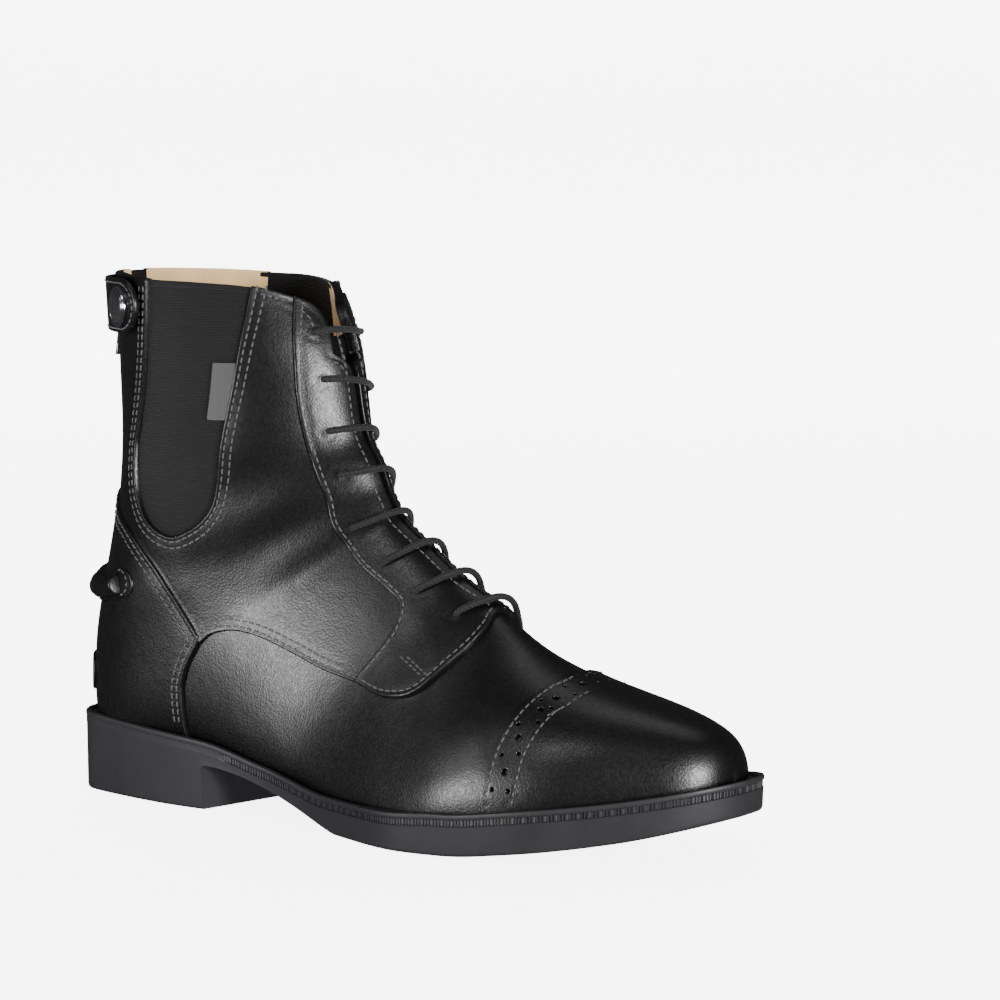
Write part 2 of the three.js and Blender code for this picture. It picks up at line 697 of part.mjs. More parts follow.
// Grooves across the forepart's tread, kept in from the edge, and notches in from the heel's sides.
function treadCuts() {
  const cuts = [];
  const first = HEEL_TREAD + WAIST_SPAN + 2.2 * TREAD_PITCH;
  for (let x = first; x < SOLE_LENGTH - 2.2 * TREAD_PITCH; x += TREAD_PITCH) {
    const at = x / SOLE_LENGTH;
    const floor = Math.max(treadHeight(at - TREAD_GROOVE / SOLE_LENGTH), 0) + TREAD_DEPTH;
    const middle = x - HEEL_TO_ORIGIN;
    const outer = TREAD_BORDER - BALL_WIDTH * along(SOLE_OUTLINE, 'outer', at);
    const inner = BALL_WIDTH * along(SOLE_OUTLINE, 'inner', at) - TREAD_BORDER;
    cuts.push(block([middle - TREAD_GROOVE / 2, outer, -1], [middle + TREAD_GROOVE / 2, inner, floor]));
  }
  for (const share of HEEL_NOTCH_PLACES) {
    const x = share * HEEL_TREAD;
    for (const side of [-1, 1]) {
      const edge = BALL_WIDTH * along(SOLE_OUTLINE, side > 0 ? 'inner' : 'outer', x / SOLE_LENGTH);
      const [low, high] = [side * (edge - HEEL_NOTCH), side * FAR].sort((a, b) => a - b);
      const middle = x - HEEL_TO_ORIGIN;
      cuts.push(block([middle - TREAD_GROOVE / 2, low, -1], [middle + TREAD_GROOVE / 2, high, TREAD_DEPTH]));
    }
  }
  return cuts;
}

// The sole with its bed sunk for the upper, which stands in the bead with a running clearance.
function outsole() {
  const seat = lastSolid(CLEARANCE * 2 + COUNTER_THICKNESS).intersect(aboveBed(0));
  const cuts = [waistCut(), ...treadCuts(), seat];
  return cuts.reduce((body, cut) => body.subtract(cut), soleBody());
}
add('sole', outsole(), blackRubber);


// Upper

const abovePlane = aboveBed(CLEARANCE);
const outerSide = block([-FAR, -FAR, -FAR], [FAR, 0, FAR]);
const innerSide = block([-FAR, 0, -FAR], [FAR, FAR, FAR]);

// A place on the last with its way out; turn in degrees.
function placeOn({ row, turn }) {
  const angle = THREE.MathUtils.degToRad(turn);
  return { point: lastPoint(row, angle), normal: lastNormal(row, angle) };
}

// A shape that is round about its own Y axis, stood on the last at a place, a lift above it.
function standOn(geometry, { point, normal }, lift) {
  const turn = new THREE.Quaternion().setFromUnitVectors(new THREE.Vector3(0, 1, 0), normal);
  const foot = point.clone().addScaledVector(normal, lift);
  geometry.applyQuaternion(turn);
  geometry.translate(foot.x, foot.y, foot.z);
  return geometry;
}

// The turn, in degrees, at which a section of the last is a distance out from the middle at the front.
function frontTurn(row, distance) {
  let low = 0;
  let high = Math.PI / 2;
  for (let step = 0; step < 24; step += 1) {
    const middle = (low + high) / 2;
    if (-lastPoint(row, middle).y < distance) {
      low = middle;
    } else {
      high = middle;
    }
  }
  return THREE.MathUtils.radToDeg(high);
}

const eyeletPlace = (row, side) => ({ row, turn: side * frontTurn(row, THROAT_GAP / 2 + EYELET_SETBACK) });

function eyeletHoles(column, side) {
  const depth = 4 * (WALL + QUARTER_STEP);
  return LACE_BARS.map((bar) => {
    const drill = new THREE.CylinderGeometry(EYELET_BORE / 2, EYELET_BORE / 2, depth, 6);
    return solidOf(standOn(drill, placeOn(eyeletPlace(bar[column], side)), 0));
  });
}
const outerEyelets = eyeletHoles('outer', 1);
const innerEyelets = eyeletHoles('inner', -1);
const without = (solid, cuts) => cuts.reduce((body, cut) => body.subtract(cut), solid);

function upperShell() {
  const wall = skin(0, -WALL);
  const quarters = skin(QUARTER_STEP, -WALL / 2).intersect(quarterRegion);
  const shell = wall.add(quarters).intersect(abovePlane).intersect(belowCollar);
  return without(shell, [goreRegion(0), zipSlit, throatSlit, ...outerEyelets, ...innerEyelets]);
}
add('upper', upperShell(), blackLeather);

function tongue() {
  const outside = -WALL - 1.4 * CLEARANCE;
  const front = sidePoint({ at: 0.67, rise: 0.6 });
  const region = sidePrism([
    ...TONGUE_BACK_LINE.map(sidePoint),
    new THREE.Vector2(front.x, FAR),
    new THREE.Vector2(sidePoint(TONGUE_BACK_LINE[0]).x, FAR),
  ], -TONGUE_WIDTH / 2, TONGUE_WIDTH / 2);
  const topEdge = collarPoints.at(-2).y - TONGUE_DROP;
  return skin(outside, outside - TONGUE_THICKNESS)
    .intersect(region)
    .subtract(block([-FAR, -FAR, topEdge], [FAR, FAR, FAR]));
}
add('tongue', tongue(), blackLeather);

function insole() {
  return lastSolid(-WALL - 1.4 * CLEARANCE)
    .intersect(abovePlane)
    .subtract(aboveBed(CLEARANCE + INSOLE_THICKNESS));
}
add('insole', insole(), liningLeather);

const toeCap = skin(CLEARANCE + OVERLAY, CLEARANCE).intersect(capRegion).intersect(abovePlane);
add('toe_cap', toeCap, blackLeather);

const counterTop = CLEARANCE + COUNTER_THICKNESS;
const heelCounter = skin(counterTop, CLEARANCE).intersect(counterRegion).intersect(abovePlane);
add('heel_counter', heelCounter, blackLeather);

const facingFoot = QUARTER_STEP + CLEARANCE;
const facingTop = facingFoot + FACING_THICKNESS;
const facings = skin(facingTop, facingFoot)
  .intersect(facingRegion)
  .intersect(belowCollar)
  .subtract(throatSlit);
add('facing_outer', without(facings.intersect(outerSide), outerEyelets), blackLeather);
add('facing_inner', without(facings.intersect(innerSide), innerEyelets), blackLeather);

const gores = skin(-CLEARANCE, -CLEARANCE - GORE_THICKNESS)
  .intersect(goreRegion(CLEARANCE))
  .intersect(belowCollar);
add('gore_outer', gores.intersect(outerSide), elastic);
add('gore_inner', gores.intersect(innerSide), elastic);

// The label lies on the outer gore, with its front edge along the gore's.
function goreLabel() {
  const middle = sidePoint(LABEL_PLACE);
  const corner = (across, up) => new THREE.Vector2(
    middle.x + (across * LABEL_WIDTH + up * LABEL_LEAN) / 2,
    middle.y + (up * LABEL_HEIGHT) / 2,
  );
  const area = sidePrism([corner(-1, -1), corner(1, -1), corner(1, 1), corner(-1, 1)], -FAR, 0);
  return skin(LABEL_THICKNESS, 0).intersect(goreRegion(2 * CLEARANCE)).intersect(area);
}
add('gore_label', goreLabel(), labelWeave);

// Lace

function laceBar({ outer, inner, arch }) {
  const lift = facingTop + 1.2 * CLEARANCE + LACE_DIAMETER / 2;
  const start = eyeletPlace(outer, 1);
  const end = eyeletPlace(inner, -1);
  const points = Array.from({ length: LACE_STEPS + 1 }, (_, i) => {
    const share = i / LACE_STEPS;
    const turn = THREE.MathUtils.degToRad(THREE.MathUtils.lerp(start.turn, end.turn, share));
    const rise = lift + arch * Math.sin(Math.PI * share) ** 2;
    return offsetPoint(THREE.MathUtils.lerp(outer, inner, share), turn, rise);
  });
  const section = new THREE.Shape(
    Array.from({ length: LACE_SIDES }, (_, i) => {
      const angle = (i / LACE_SIDES) * Math.PI * 2;
      return new THREE.Vector2(Math.cos(angle), Math.sin(angle)).multiplyScalar(LACE_DIAMETER / 2);
    }),
  );
  return new THREE.ExtrudeGeometry(section, {
    steps: LACE_STEPS,
    extrudePath: new THREE.CatmullRomCurve3(points),
    bevelEnabled: false,
  });
}
LACE_BARS.forEach((bar, i) => add(`lace_bar_${i + 1}`, solidOf(laceBar(bar)), laceCord));

// Back of the shaft

const acrossBack = (width, low, high) => block([-FAR, -width / 2, low], [backHalf, width / 2, high]);

function zip() {
  const tape = skin(-ZIP_TAPE_SINK, -ZIP_TAPE_SINK - ZIP_TAPE_THICKNESS)
    .intersect(acrossBack(ZIP_SLIT - 2 * CLEARANCE, zipBottom + CLEARANCE, FAR));
  const chain = skin(-ZIP_SINK, -ZIP_TAPE_SINK - ZIP_TAPE_THICKNESS)
    .intersect(acrossBack(ZIP_CHAIN, zipBottom + CLEARANCE, FAR));
  return tape.add(chain).intersect(belowCollar);
}
add('zip', zip(), blackZip);

const strapHigh = sidePoint(COLLAR_LINE[0]).y - STRAP_DROP;
const strapLow = strapHigh - STRAP_WIDTH;
const bailRadius = BAIL_HOLE / 2 + BAIL_WALL;
const hingeHeight = strapLow - CLEARANCE - bailRadius;
const sliderFoot = CLEARANCE - ZIP_SINK;
const sliderTop = sliderFoot + SLIDER_THICKNESS;

// The back of the last at a height: how far along the boot it is.
function backAt(height) {
  let low = LAST_SECTIONS.length / 2;
  let high = LAST_SECTIONS.length - 1;
  for (let step = 0; step < 24; step += 1) {
    const middle = (low + high) / 2;
    if (lastPoint(middle, Math.PI).z < height) {
      low = middle;
    } else {
      high = middle;
    }
  }
  return lastPoint(high, Math.PI).x;
}
const hingeX = backAt(hingeHeight) - sliderTop - BAIL_RISE;

// The slider, with a round eye on its lower end for the pull tab.
function zipSlider() {
  const sliderLow = hingeHeight - bailRadius;
  const body = skin(sliderTop, sliderFoot)
    .intersect(acrossBack(SLIDER_WIDTH, sliderLow, sliderLow + SLIDER_LENGTH));
  const eye = new THREE.Shape().absarc(0, 0, bailRadius, 0, Math.PI * 2);
  eye.holes.push(new THREE.Path().absarc(0, 0, BAIL_HOLE / 2, 0, Math.PI * 2, true));
  const ring = new THREE.ExtrudeGeometry(eye, { depth: BAIL_WIDTH, bevelEnabled: false, curveSegments: 5 });
  ring.rotateX(Math.PI / 2);
  ring.translate(hingeX, BAIL_WIDTH / 2, hingeHeight);
  const stem = block(
    [hingeX + BAIL_HOLE / 2 + 0.2, -BAIL_WIDTH / 2, hingeHeight - bailRadius * 0.6],
    [hingeX + BAIL_RISE + SLIDER_THICKNESS / 2, BAIL_WIDTH / 2, hingeHeight + bailRadius * 0.6],
  );
  return body.add(solidOf(ring)).add(stem);
}
add('zip_slider', zipSlider(), blackEnamel);

// The pull tab hangs from its top bar, with a slot for the slider's eye and a window below.
function zipPull() {
  const halfWidth = (down) => {
    const share = down / (PULL_LENGTH + PULL_THICKNESS / 2);
    return (PULL_TOP_WIDTH + (PULL_FOOT_WIDTH - PULL_TOP_WIDTH) * share) / 2;
  };
  const ladder = (from, to, inset) => [
    new THREE.Vector2(inset - halfWidth(from), -from),
    new THREE.Vector2(inset - halfWidth(to), -to),
    new THREE.Vector2(halfWidth(to) - inset, -to),
    new THREE.Vector2(halfWidth(from) - inset, -from),
  ];
  const bar = PULL_THICKNESS / 2;
  const slotFoot = bailRadius + 1.3 * CLEARANCE;
  const shape = new THREE.Shape(ladder(-bar, PULL_LENGTH, 0));
  shape.holes.push(new THREE.Path(ladder(bar, slotFoot, PULL_EDGE)));
  shape.holes.push(new THREE.Path(ladder(slotFoot + 1.6 * PULL_EDGE, PULL_LENGTH - PULL_EDGE, PULL_EDGE)));
  const geometry = new THREE.ExtrudeGeometry(shape, { depth: PULL_THICKNESS, bevelEnabled: false });
  geometry.translate(0, 0, -PULL_THICKNESS / 2);
  geometry.applyMatrix4(new THREE.Matrix4().makeBasis(
    new THREE.Vector3(0, 1, 0),
    new THREE.Vector3(0, 0, 1),
    new THREE.Vector3(1, 0, 0),
  ));
  geometry.translate(hingeX, 0, hingeHeight);
  return solidOf(geometry);
}
add('zip_pull', zipPull(), blackEnamel);

const strapFoot = sliderTop + CLEARANCE;
const strapTop = strapFoot + STRAP_THICKNESS;

// The strap goes round the back over the zip: sewn down on the inner side, round at its outer end.
function snapStrap() {
  const endX = lengthwise(STRAP_OUTER_END) - STRAP_WIDTH / 2;
  const round = new THREE.Shape();
  round.moveTo(-FAR, strapLow);
  round.lineTo(endX, strapLow);
  round.absarc(endX, (strapLow + strapHigh) / 2, STRAP_WIDTH / 2, -Math.PI / 2, Math.PI / 2);
  round.lineTo(-FAR, strapHigh);
  const outerPart = sidePrism(round.getPoints(6), -FAR, 0);
  const innerX = lengthwise(STRAP_INNER_END);
  const innerPart = block([-FAR, 0, strapLow], [innerX, FAR, strapHigh]);
  const sewn = block([innerX - STRAP_SEWN_LENGTH, 0, strapLow], [innerX, FAR, strapHigh]);
  const band = skin(strapTop, strapFoot).intersect(outerPart.add(innerPart));
  const sewnEnd = skin(strapTop, facingFoot).intersect(sewn);
  return band.add(sewnEnd);
}
add('snap_strap', snapStrap(), blackLeather);

const snapSpot = placeOn(SNAP_PLACE);
const snapFoot = strapTop + CLEARANCE;
const ringHole = SNAP_DIAMETER / 2 - SNAP_RING_WIDTH;

function lathe(profile) {
  return new THREE.LatheGeometry(profile.map(([x, y]) => new THREE.Vector2(x, y)), SNAP_SIDES);
}

const snapRing = lathe([
  [ringHole, 0],
  [SNAP_DIAMETER / 2, 0],
  [SNAP_DIAMETER / 2, SNAP_RING_HEIGHT * 0.6],
  [SNAP_DIAMETER / 2 - SNAP_RING_WIDTH * 0.4, SNAP_RING_HEIGHT],
  [ringHole, SNAP_RING_HEIGHT * 0.8],
  [ringHole, 0],
]);
add('snap_ring', solidOf(standOn(snapRing, snapSpot, snapFoot)), chrome);

const capRadius = ringHole - CLEARANCE;
const snapCap = lathe([
  [0, 0],
  [capRadius, 0],
  [capRadius, SNAP_DOME * 0.45],
  [capRadius * 0.8, SNAP_DOME * 0.8],
  [capRadius * 0.45, SNAP_DOME * 0.97],
  [0, SNAP_DOME],
]);
add('snap_cap', solidOf(standOn(snapCap, snapSpot, snapFoot)), blackEnamel);

// A roll round the back of the counter, cut to lie on it.
function spurRest() {
  const steps = 12;
  const lift = counterTop + CLEARANCE + SPUR_STAND - SPUR_DIAMETER / 2;
  const points = Array.from({ length: steps + 1 }, (_, i) => {
    const aside = Math.abs(1 - (2 * i) / steps);
    const turn = SPUR_END.turn + ((360 - 2 * SPUR_END.turn) * i) / steps;
    const row = SPUR_BACK_ROW + (SPUR_END.row - SPUR_BACK_ROW) * aside;
    return offsetPoint(row, THREE.MathUtils.degToRad(turn), lift);
  });
  const section = new THREE.Shape(
    Array.from({ length: 10 }, (_, i) => {
      const angle = (i / 10) * Math.PI * 2;
      return new THREE.Vector2(Math.cos(angle), Math.sin(angle)).multiplyScalar(SPUR_DIAMETER / 2);
    }),
  );
  const roll = new THREE.ExtrudeGeometry(section, {
    steps,
    extrudePath: new THREE.CatmullRomCurve3(points),
    bevelEnabled: false,
  });
  return solidOf(roll).subtract(lastSolid(counterTop + CLEARANCE));
}
add('spur_rest', spurRest(), blackLeather);

// A low patch over the middle of the counter, its corners cut off.
function heelTab() {
  const low = bedHeight(0) + HEEL_TAB_RISE;
  const half = HEEL_TAB_WIDTH / 2;
  const high = low + HEEL_TAB_HEIGHT;
  const corner = HEEL_TAB_HEIGHT * 0.3;
  const outline = new THREE.Shape([
    new THREE.Vector2(-half + corner, low),
    new THREE.Vector2(half - corner, low),
    new THREE.Vector2(half, low + corner),
    new THREE.Vector2(half, high - corner),
    new THREE.Vector2(half - corner, high),
    new THREE.Vector2(-half + corner, high),
    new THREE.Vector2(-half, high - corner),
    new THREE.Vector2(-half, low + corner),
  ]);
  const geometry = new THREE.ExtrudeGeometry(outline, { depth: FAR, bevelEnabled: false });
  geometry.applyMatrix4(new THREE.Matrix4().makeBasis(
    new THREE.Vector3(0, 1, 0),
    new THREE.Vector3(0, 0, 1),
    new THREE.Vector3(1, 0, 0),
  ));
  geometry.translate(backHalf - FAR, 0, 0);
  const foot = counterTop + CLEARANCE;
  return skin(foot + HEEL_TAB_THICKNESS, foot).intersect(solidOf(geometry));
}
add('heel_tab', heelTab(), blackLeather);

export default group;
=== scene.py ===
"""Dresses a right-foot paddock boot: leather panels, seams, laces, zip, snap and rubber sole.

Lengths are in millimetres in the part's own frame (+X to the toe, +Y to the inner side, +Z up)
and become metres where a mesh is made.
"""

import math

import bpy
import numpy as np
from bpy.props import FloatProperty, PointerProperty, StringProperty
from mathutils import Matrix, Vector


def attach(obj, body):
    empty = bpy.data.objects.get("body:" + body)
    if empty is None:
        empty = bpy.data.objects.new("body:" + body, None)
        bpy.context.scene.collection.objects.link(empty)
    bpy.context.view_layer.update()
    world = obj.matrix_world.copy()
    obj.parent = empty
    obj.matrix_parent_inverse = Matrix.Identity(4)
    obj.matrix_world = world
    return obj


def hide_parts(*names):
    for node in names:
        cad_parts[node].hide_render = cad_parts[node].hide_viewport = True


bl_info = {
    "name": "Paddock boot",
    "version": (1, 0, 0),
    "blender": (4, 5, 0),
    "location": "View3D > Sidebar > Boot",
    "description": "Builds the leather, stitching, hardware and sole of a paddock boot",
    "category": "Object",
}

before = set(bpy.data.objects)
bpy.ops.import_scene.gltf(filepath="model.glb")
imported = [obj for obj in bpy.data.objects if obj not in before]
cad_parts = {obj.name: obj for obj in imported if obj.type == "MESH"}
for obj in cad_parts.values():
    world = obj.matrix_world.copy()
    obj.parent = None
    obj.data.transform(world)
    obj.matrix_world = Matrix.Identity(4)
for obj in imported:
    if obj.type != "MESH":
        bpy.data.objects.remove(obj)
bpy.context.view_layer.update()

MM = 0.001
FAR = 400.0
LENGTH = 287.0
BALL = 97.0
TO_ORIGIN = 35.0
SHAFT = 170.0
HEEL_LIFT = 17.0
EDGE_DEPTH = 14.0
TOE_SPRING = 17.0
BEAD_RISE = 1.2
WALL = 2.0
HEEL_TREAD = 70.0
WAIST_SPAN = 72.0
BREAST_HEIGHT = 17.0
BREAST_SKEW = math.tan(math.radians(12))
THROAT_HALF = 1.0
EYELET_ASIDE = 12.0
EYELET_RADIUS = 1.75

# Columns: top, rise, foot, fall, outer, inner, shift, widest, crown, skirt.
LAST_SECTIONS = np.array([
    (0.973, 0.027, 0.973, -0.03, 0.03, 0.03, 0.05, 0.6, 2.2, 2.6),
    (0.968, 0.056, 0.967, -0.047, 0.095, 0.095, 0.05, 0.62, 2.2, 2.8),
    (0.957, 0.088, 0.954, -0.06, 0.156, 0.158, 0.05, 0.66, 2.2, 3),
    (0.936, 0.118, 0.93, -0.066, 0.216, 0.225, 0.042, 0.7, 2.2, 3),
    (0.905, 0.147, 0.891, -0.068, 0.276, 0.3, 0.032, 0.72, 2.2, 3),
    (0.868, 0.176, 0.843, -0.07, 0.344, 0.366, 0.021, 0.75, 2.2, 3),
    (0.823, 0.209, 0.777, -0.073, 0.423, 0.414, 0.01, 0.78, 2.1, 3),
    (0.774, 0.245, 0.697, -0.071, 0.472, 0.412, 0.005, 0.8, 2, 3),
    (0.724, 0.289, 0.613, -0.068, 0.49, 0.387, 0, 0.82, 1.9, 3),
    (0.676, 0.347, 0.529, -0.066, 0.455, 0.325, 0, 0.82, 1.75, 3),
    (0.629, 0.407, 0.439, -0.066, 0.39, 0.282, 0, 0.8, 1.7, 2.8),
    (0.579, 0.456, 0.349, -0.074, 0.333, 0.274, 0, 0.76, 1.65, 2.6),
    (0.533, 0.513, 0.244, -0.087, 0.318, 0.288, 0, 0.72, 1.65, 2.5),
    (0.495, 0.563, 0.132, -0.084, 0.315, 0.303, 0, 0.66, 1.65, 2.4),
    (0.473, 0.609, 0.033, -0.065, 0.322, 0.317, 0, 0.62, 1.65, 2.6),
    (0.458, 0.662, 0.013, 0.051, 0.33, 0.325, 0, 0.58, 1.65, 2.6),
    (0.443, 0.707, 0.015, 0.157, 0.346, 0.337, 0, 0.55, 1.65, 2.5),
    (0.427, 0.748, 0.025, 0.265, 0.358, 0.349, 0, 0.52, 1.65, 2.25),
    (0.417, 0.795, 0.036, 0.384, 0.366, 0.361, 0, 0.49, 1.65, 2),
    (0.411, 0.846, 0.045, 0.503, 0.376, 0.371, 0, 0.48, 1.65, 1.9),
    (0.404, 0.9, 0.048, 0.639, 0.373, 0.373, 0, 0.472, 1.65, 1.8),
    (0.393, 0.955, 0.047, 0.774, 0.384, 0.384, 0, 0.47, 1.65, 1.8),
    (0.377, 1.008, 0.045, 0.898, 0.389, 0.389, 0, 0.47, 1.65, 1.8),
    (0.364, 1.061, 0.042, 1.03, 0.389, 0.389, 0, 0.469, 1.65, 1.8),
])

# Columns: at, outer, inner.
SOLE_OUTLINE = np.array([
    (0, 0.07, 0.07), (0.004, 0.16, 0.155), (0.018, 0.235, 0.225), (0.045, 0.272, 0.265),
    (0.091, 0.302, 0.3), (0.162, 0.334, 0.328), (0.243, 0.342, 0.325), (0.344, 0.336, 0.3),
    (0.465, 0.423, 0.306), (0.586, 0.544, 0.385), (0.677, 0.528, 0.45), (0.768, 0.485, 0.47),
    (0.849, 0.388, 0.446), (0.909, 0.299, 0.388), (0.947, 0.232, 0.316), (0.976, 0.148, 0.235),
    (0.993, 0.066, 0.16), (1, 0, 0.095),
])

# Columns: at, lift, edge, spring.
SOLE_HEIGHTS = np.array([
    (0, 1, 1, 0), (0.121, 0.88, 1, 0), (0.243, 0.72, 1, 0), (0.344, 0.32, 1, 0),
    (0.465, 0, 0.97, 0), (0.586, 0, 1, 0), (0.667, 0, 1.1, 0), (0.758, 0, 1.11, 0.16),
    (0.879, 0, 1.05, 0.48), (1, 0, 0.9, 1),
])

# Lines seen from the side. Columns: share of the length, rise above the bed.
COLLAR = [(-0.101, 1.008), (0.101, 1.008), (0.174, 1.01), (0.243, 1.018), (0.306, 1.034),
          (0.337, 1.032), (0.361, 1.018), (0.377, 0.995), (0.388, 0.965), (0.396, 0.92)]
HEM = [(0.238, 0.214), (0.246, 0.23), (0.26, 0.25), (0.292, 0.273), (0.333, 0.281),
       (0.382, 0.271), (0.431, 0.258), (0.486, 0.242), (0.526, 0.222), (0.563, 0.222),
       (0.585, 0.235), (0.602, 0.259), (0.621, 0.295), (0.636, 0.325), (0.644, 0.362),
       (0.642, 0.385), (0.635, 0.45)]
FACING = [(0.344, 1.1), (0.351, 1.023), (0.362, 0.92), (0.368, 0.832), (0.375, 0.756),
          (0.383, 0.696), (0.401, 0.633), (0.416, 0.557), (0.454, 0.49), (0.5, 0.438),
          (0.522, 0.408), (0.524, 0.374), (0.516, 0.329), (0.483, 0.243)]
COUNTER = [(-0.101, 0.54), (0.056, 0.515), (0.09, 0.473), (0.131, 0.44), (0.17, 0.384),
           (0.197, 0.329), (0.221, 0.275), (0.238, 0.236), (0.236, 0.216), (0.221, 0.171),
           (0.212, 0.13), (0.209, 0.086), (0.209, -0.1)]
CAP = [(0.719, -0.1), (0.719, 0.015), (0.723, 0.082), (0.726, 0.134), (0.734, 0.188),
       (0.743, 0.221), (0.753, 0.244), (0.761, 0.258), (0.765, 0.33)]
GORE = [(0.177, 1.2), (0.176, 0.995), (0.165, 0.838), (0.141, 0.676), (0.135, 0.625),
        (0.137, 0.548), (0.15, 0.499), (0.171, 0.465), (0.203, 0.449), (0.232, 0.47),
        (0.254, 0.501), (0.269, 0.544), (0.278, 0.61), (0.284, 0.672), (0.306, 0.889),
        (0.312, 1.01), (0.314, 1.2)]
TONGUE_BACK = [(0.328, 0.93), (0.359, 0.78), (0.389, 0.66), (0.434, 0.54), (0.505, 0.42),
               (0.586, 0.34), (0.667, 0.26)]
# The lace's bars: section rows of the outer and the inner eyelet, and the arch in the middle.
LACE_BARS = np.array([
    (21.16, 21.05, 0), (19.58, 19.1, 0), (17.67, 17.15, 0.1), (15.86, 15, 0.3),
    (14.02, 13.1, 0.5), (12.44, 11.7, 0.9), (11.38, 10.5, 1.5), (10.23, 9.5, 1.4),
])

# Section rows, and turns in degrees from the front down the outer side.
SNAP_PLACE = (22.24, 123.5)
SPUR_ROWS = (16.55, 17.5)
SPUR_TURN = 117.0
ZIP_BOTTOM = 0.53
HEEL_ROW = 16
LABEL_PLACE = (0.285, 0.795)
LABEL_WIDTH, LABEL_HEIGHT, LABEL_LEAN = 8.2, 21.0, 2.6
CORNER = 9.0
JUNCTION = 7


# Curves and heights

def steady(table, column, at):
    """A smooth value along a table whose first column rises, without overshoot."""
    x, y = table[:, 0], table[:, column]
    slope = np.diff(y) / np.diff(x)
    bend = slope[:-1] * slope[1:]
    total = np.where(np.abs(slope[:-1] + slope[1:]) < 1e-12, 1, slope[:-1] + slope[1:])
    middle = np.where(bend <= 0, 0, 2 * bend / total)
    tangent = np.concatenate([slope[:1], middle, slope[-1:]])
    at = np.asarray(at, float)
    i = np.clip(np.searchsorted(x, at) - 1, 0, len(x) - 2)
    span = x[i + 1] - x[i]
    t = np.clip((at - x[i]) / span, 0, 1)
    r = 1 - t
    return (y[i] * (1 + 2 * t) * r * r + tangent[i] * span * t * r * r
            + y[i + 1] * t * t * (3 - 2 * t) - tangent[i + 1] * span * t * t * r)


def spline(rows, places):
    """Natural cubic spline through the rows of a table, by row number."""
    n = len(rows)
    matrix = np.diag(np.full(n, 4.0)) + np.diag(np.ones(n - 1), 1) + np.diag(np.ones(n - 1), -1)
    matrix[0, 0] = matrix[-1, -1] = 2
    rise = np.zeros_like(rows)
    rise[1:-1] = 3 * (rows[2:] - rows[:-2])
    rise[0], rise[-1] = 3 * (rows[1] - rows[0]), 3 * (rows[-1] - rows[-2])
    slope = np.linalg.solve(matrix, rise)
    places = np.asarray(places, float)
    i = np.clip(places.astype(int), 0, n - 2)
    t = (places - i)[:, None]
    r = 1 - t
    return (rows[i] * (1 + 2 * t) * r * r + slope[i] * t * r * r
            + rows[i + 1] * t * t * (3 - 2 * t) - slope[i + 1] * t * t * r)


def tread_height(at):
    return TOE_SPRING * steady(SOLE_HEIGHTS, 3, at)


def rim_height(at):
    edge = EDGE_DEPTH * steady(SOLE_HEIGHTS, 2, at)
    return tread_height(at) + HEEL_LIFT * steady(SOLE_HEIGHTS, 1, at) + edge


def bed_height(at):
    return rim_height(np.clip(at, 0, 1)) - BEAD_RISE


def side_points(line):
    """Places of a side view as (x, z) in millimetres."""
    line = np.asarray(line, float)
    x = line[:, 0] * LENGTH - TO_ORIGIN
    return np.stack([x, bed_height(line[:, 0]) + line[:, 1] * SHAFT], 1)


def run_along(points):
    """The distance run at each point of a path."""
    return np.concatenate([[0], np.cumsum(np.linalg.norm(np.diff(points, axis=0), axis=1))])


def rounded(points, steps=6):
    """A smooth curve through points, with more points between them."""
    p = np.vstack([2 * points[0] - points[1], points, 2 * points[-1] - points[-2]])
    out = []
    for a, b, c, d in zip(p[:-3], p[1:-2], p[2:-1], p[3:]):
        for t in np.arange(steps) / steps:
            out.append(0.5 * (2 * b + (c - a) * t + (2 * a - 5 * b + 4 * c - d) * t ** 2
                              + (3 * b - a - 3 * c + d) * t ** 3))
    return np.array(out + [points[-1]])


def beside(line, distance):
    """A side-view line moved to its left by a distance."""
    along = np.gradient(line, axis=0)
    along /= np.linalg.norm(along, axis=1)[:, None]
    return line + distance * np.stack([-along[:, 1], along[:, 0]], 1)


def inside(outline, x, z):
    """Signed distance to a closed side-view outline, positive inside."""
    best = np.full(x.shape, 1e18)
    within = np.zeros(x.shape, bool)
    for (ax, az), (bx, bz) in zip(outline, np.roll(outline, -1, 0)):
        dx, dz = bx - ax, bz - az
        t = np.clip(((x - ax) * dx + (z - az) * dz) / max(dx * dx + dz * dz, 1e-12), 0, 1)
        best = np.minimum(best, (x - ax - t * dx) ** 2 + (z - az - t * dz) ** 2)
        if az != bz:
            crossing = ((az > z) != (bz > z)) & (x < (bx - ax) * (z - az) / (bz - az) + ax)
            within ^= crossing
    return np.where(within, 1, -1) * np.sqrt(best)


# The form: a fine grid of places and ways out over the whole last

RINGS = 210
SIDES = 200
SOFT_AROUND, SOFT_ALONG = 0.0107, 0.0067
TIP_RINGS = (0.02, 0.3, 0.62, 0.86)


def soften(grid, width, axis, around):
    """Weighs each place with its neighbours, which rounds the form's ridges."""
    reach = int(3 * width) + 1
    weights = np.exp(-0.5 * (np.arange(-reach, reach + 1) / width) ** 2)
    weights /= weights.sum()
    if around:
        return sum(w * np.roll(grid, k, axis) for w, k in zip(weights, range(-reach, reach + 1)))
    head, tail = grid[:1], grid[-1:]
    before = [2 * head - grid[k:k + 1] for k in range(reach, 0, -1)]
    after = [2 * tail - grid[-1 - k:len(grid) - k] for k in range(1, reach + 1)]
    padded = np.concatenate(before + [grid] + after)
    return sum(w * padded[k:k + len(grid)] for k, w in enumerate(weights))


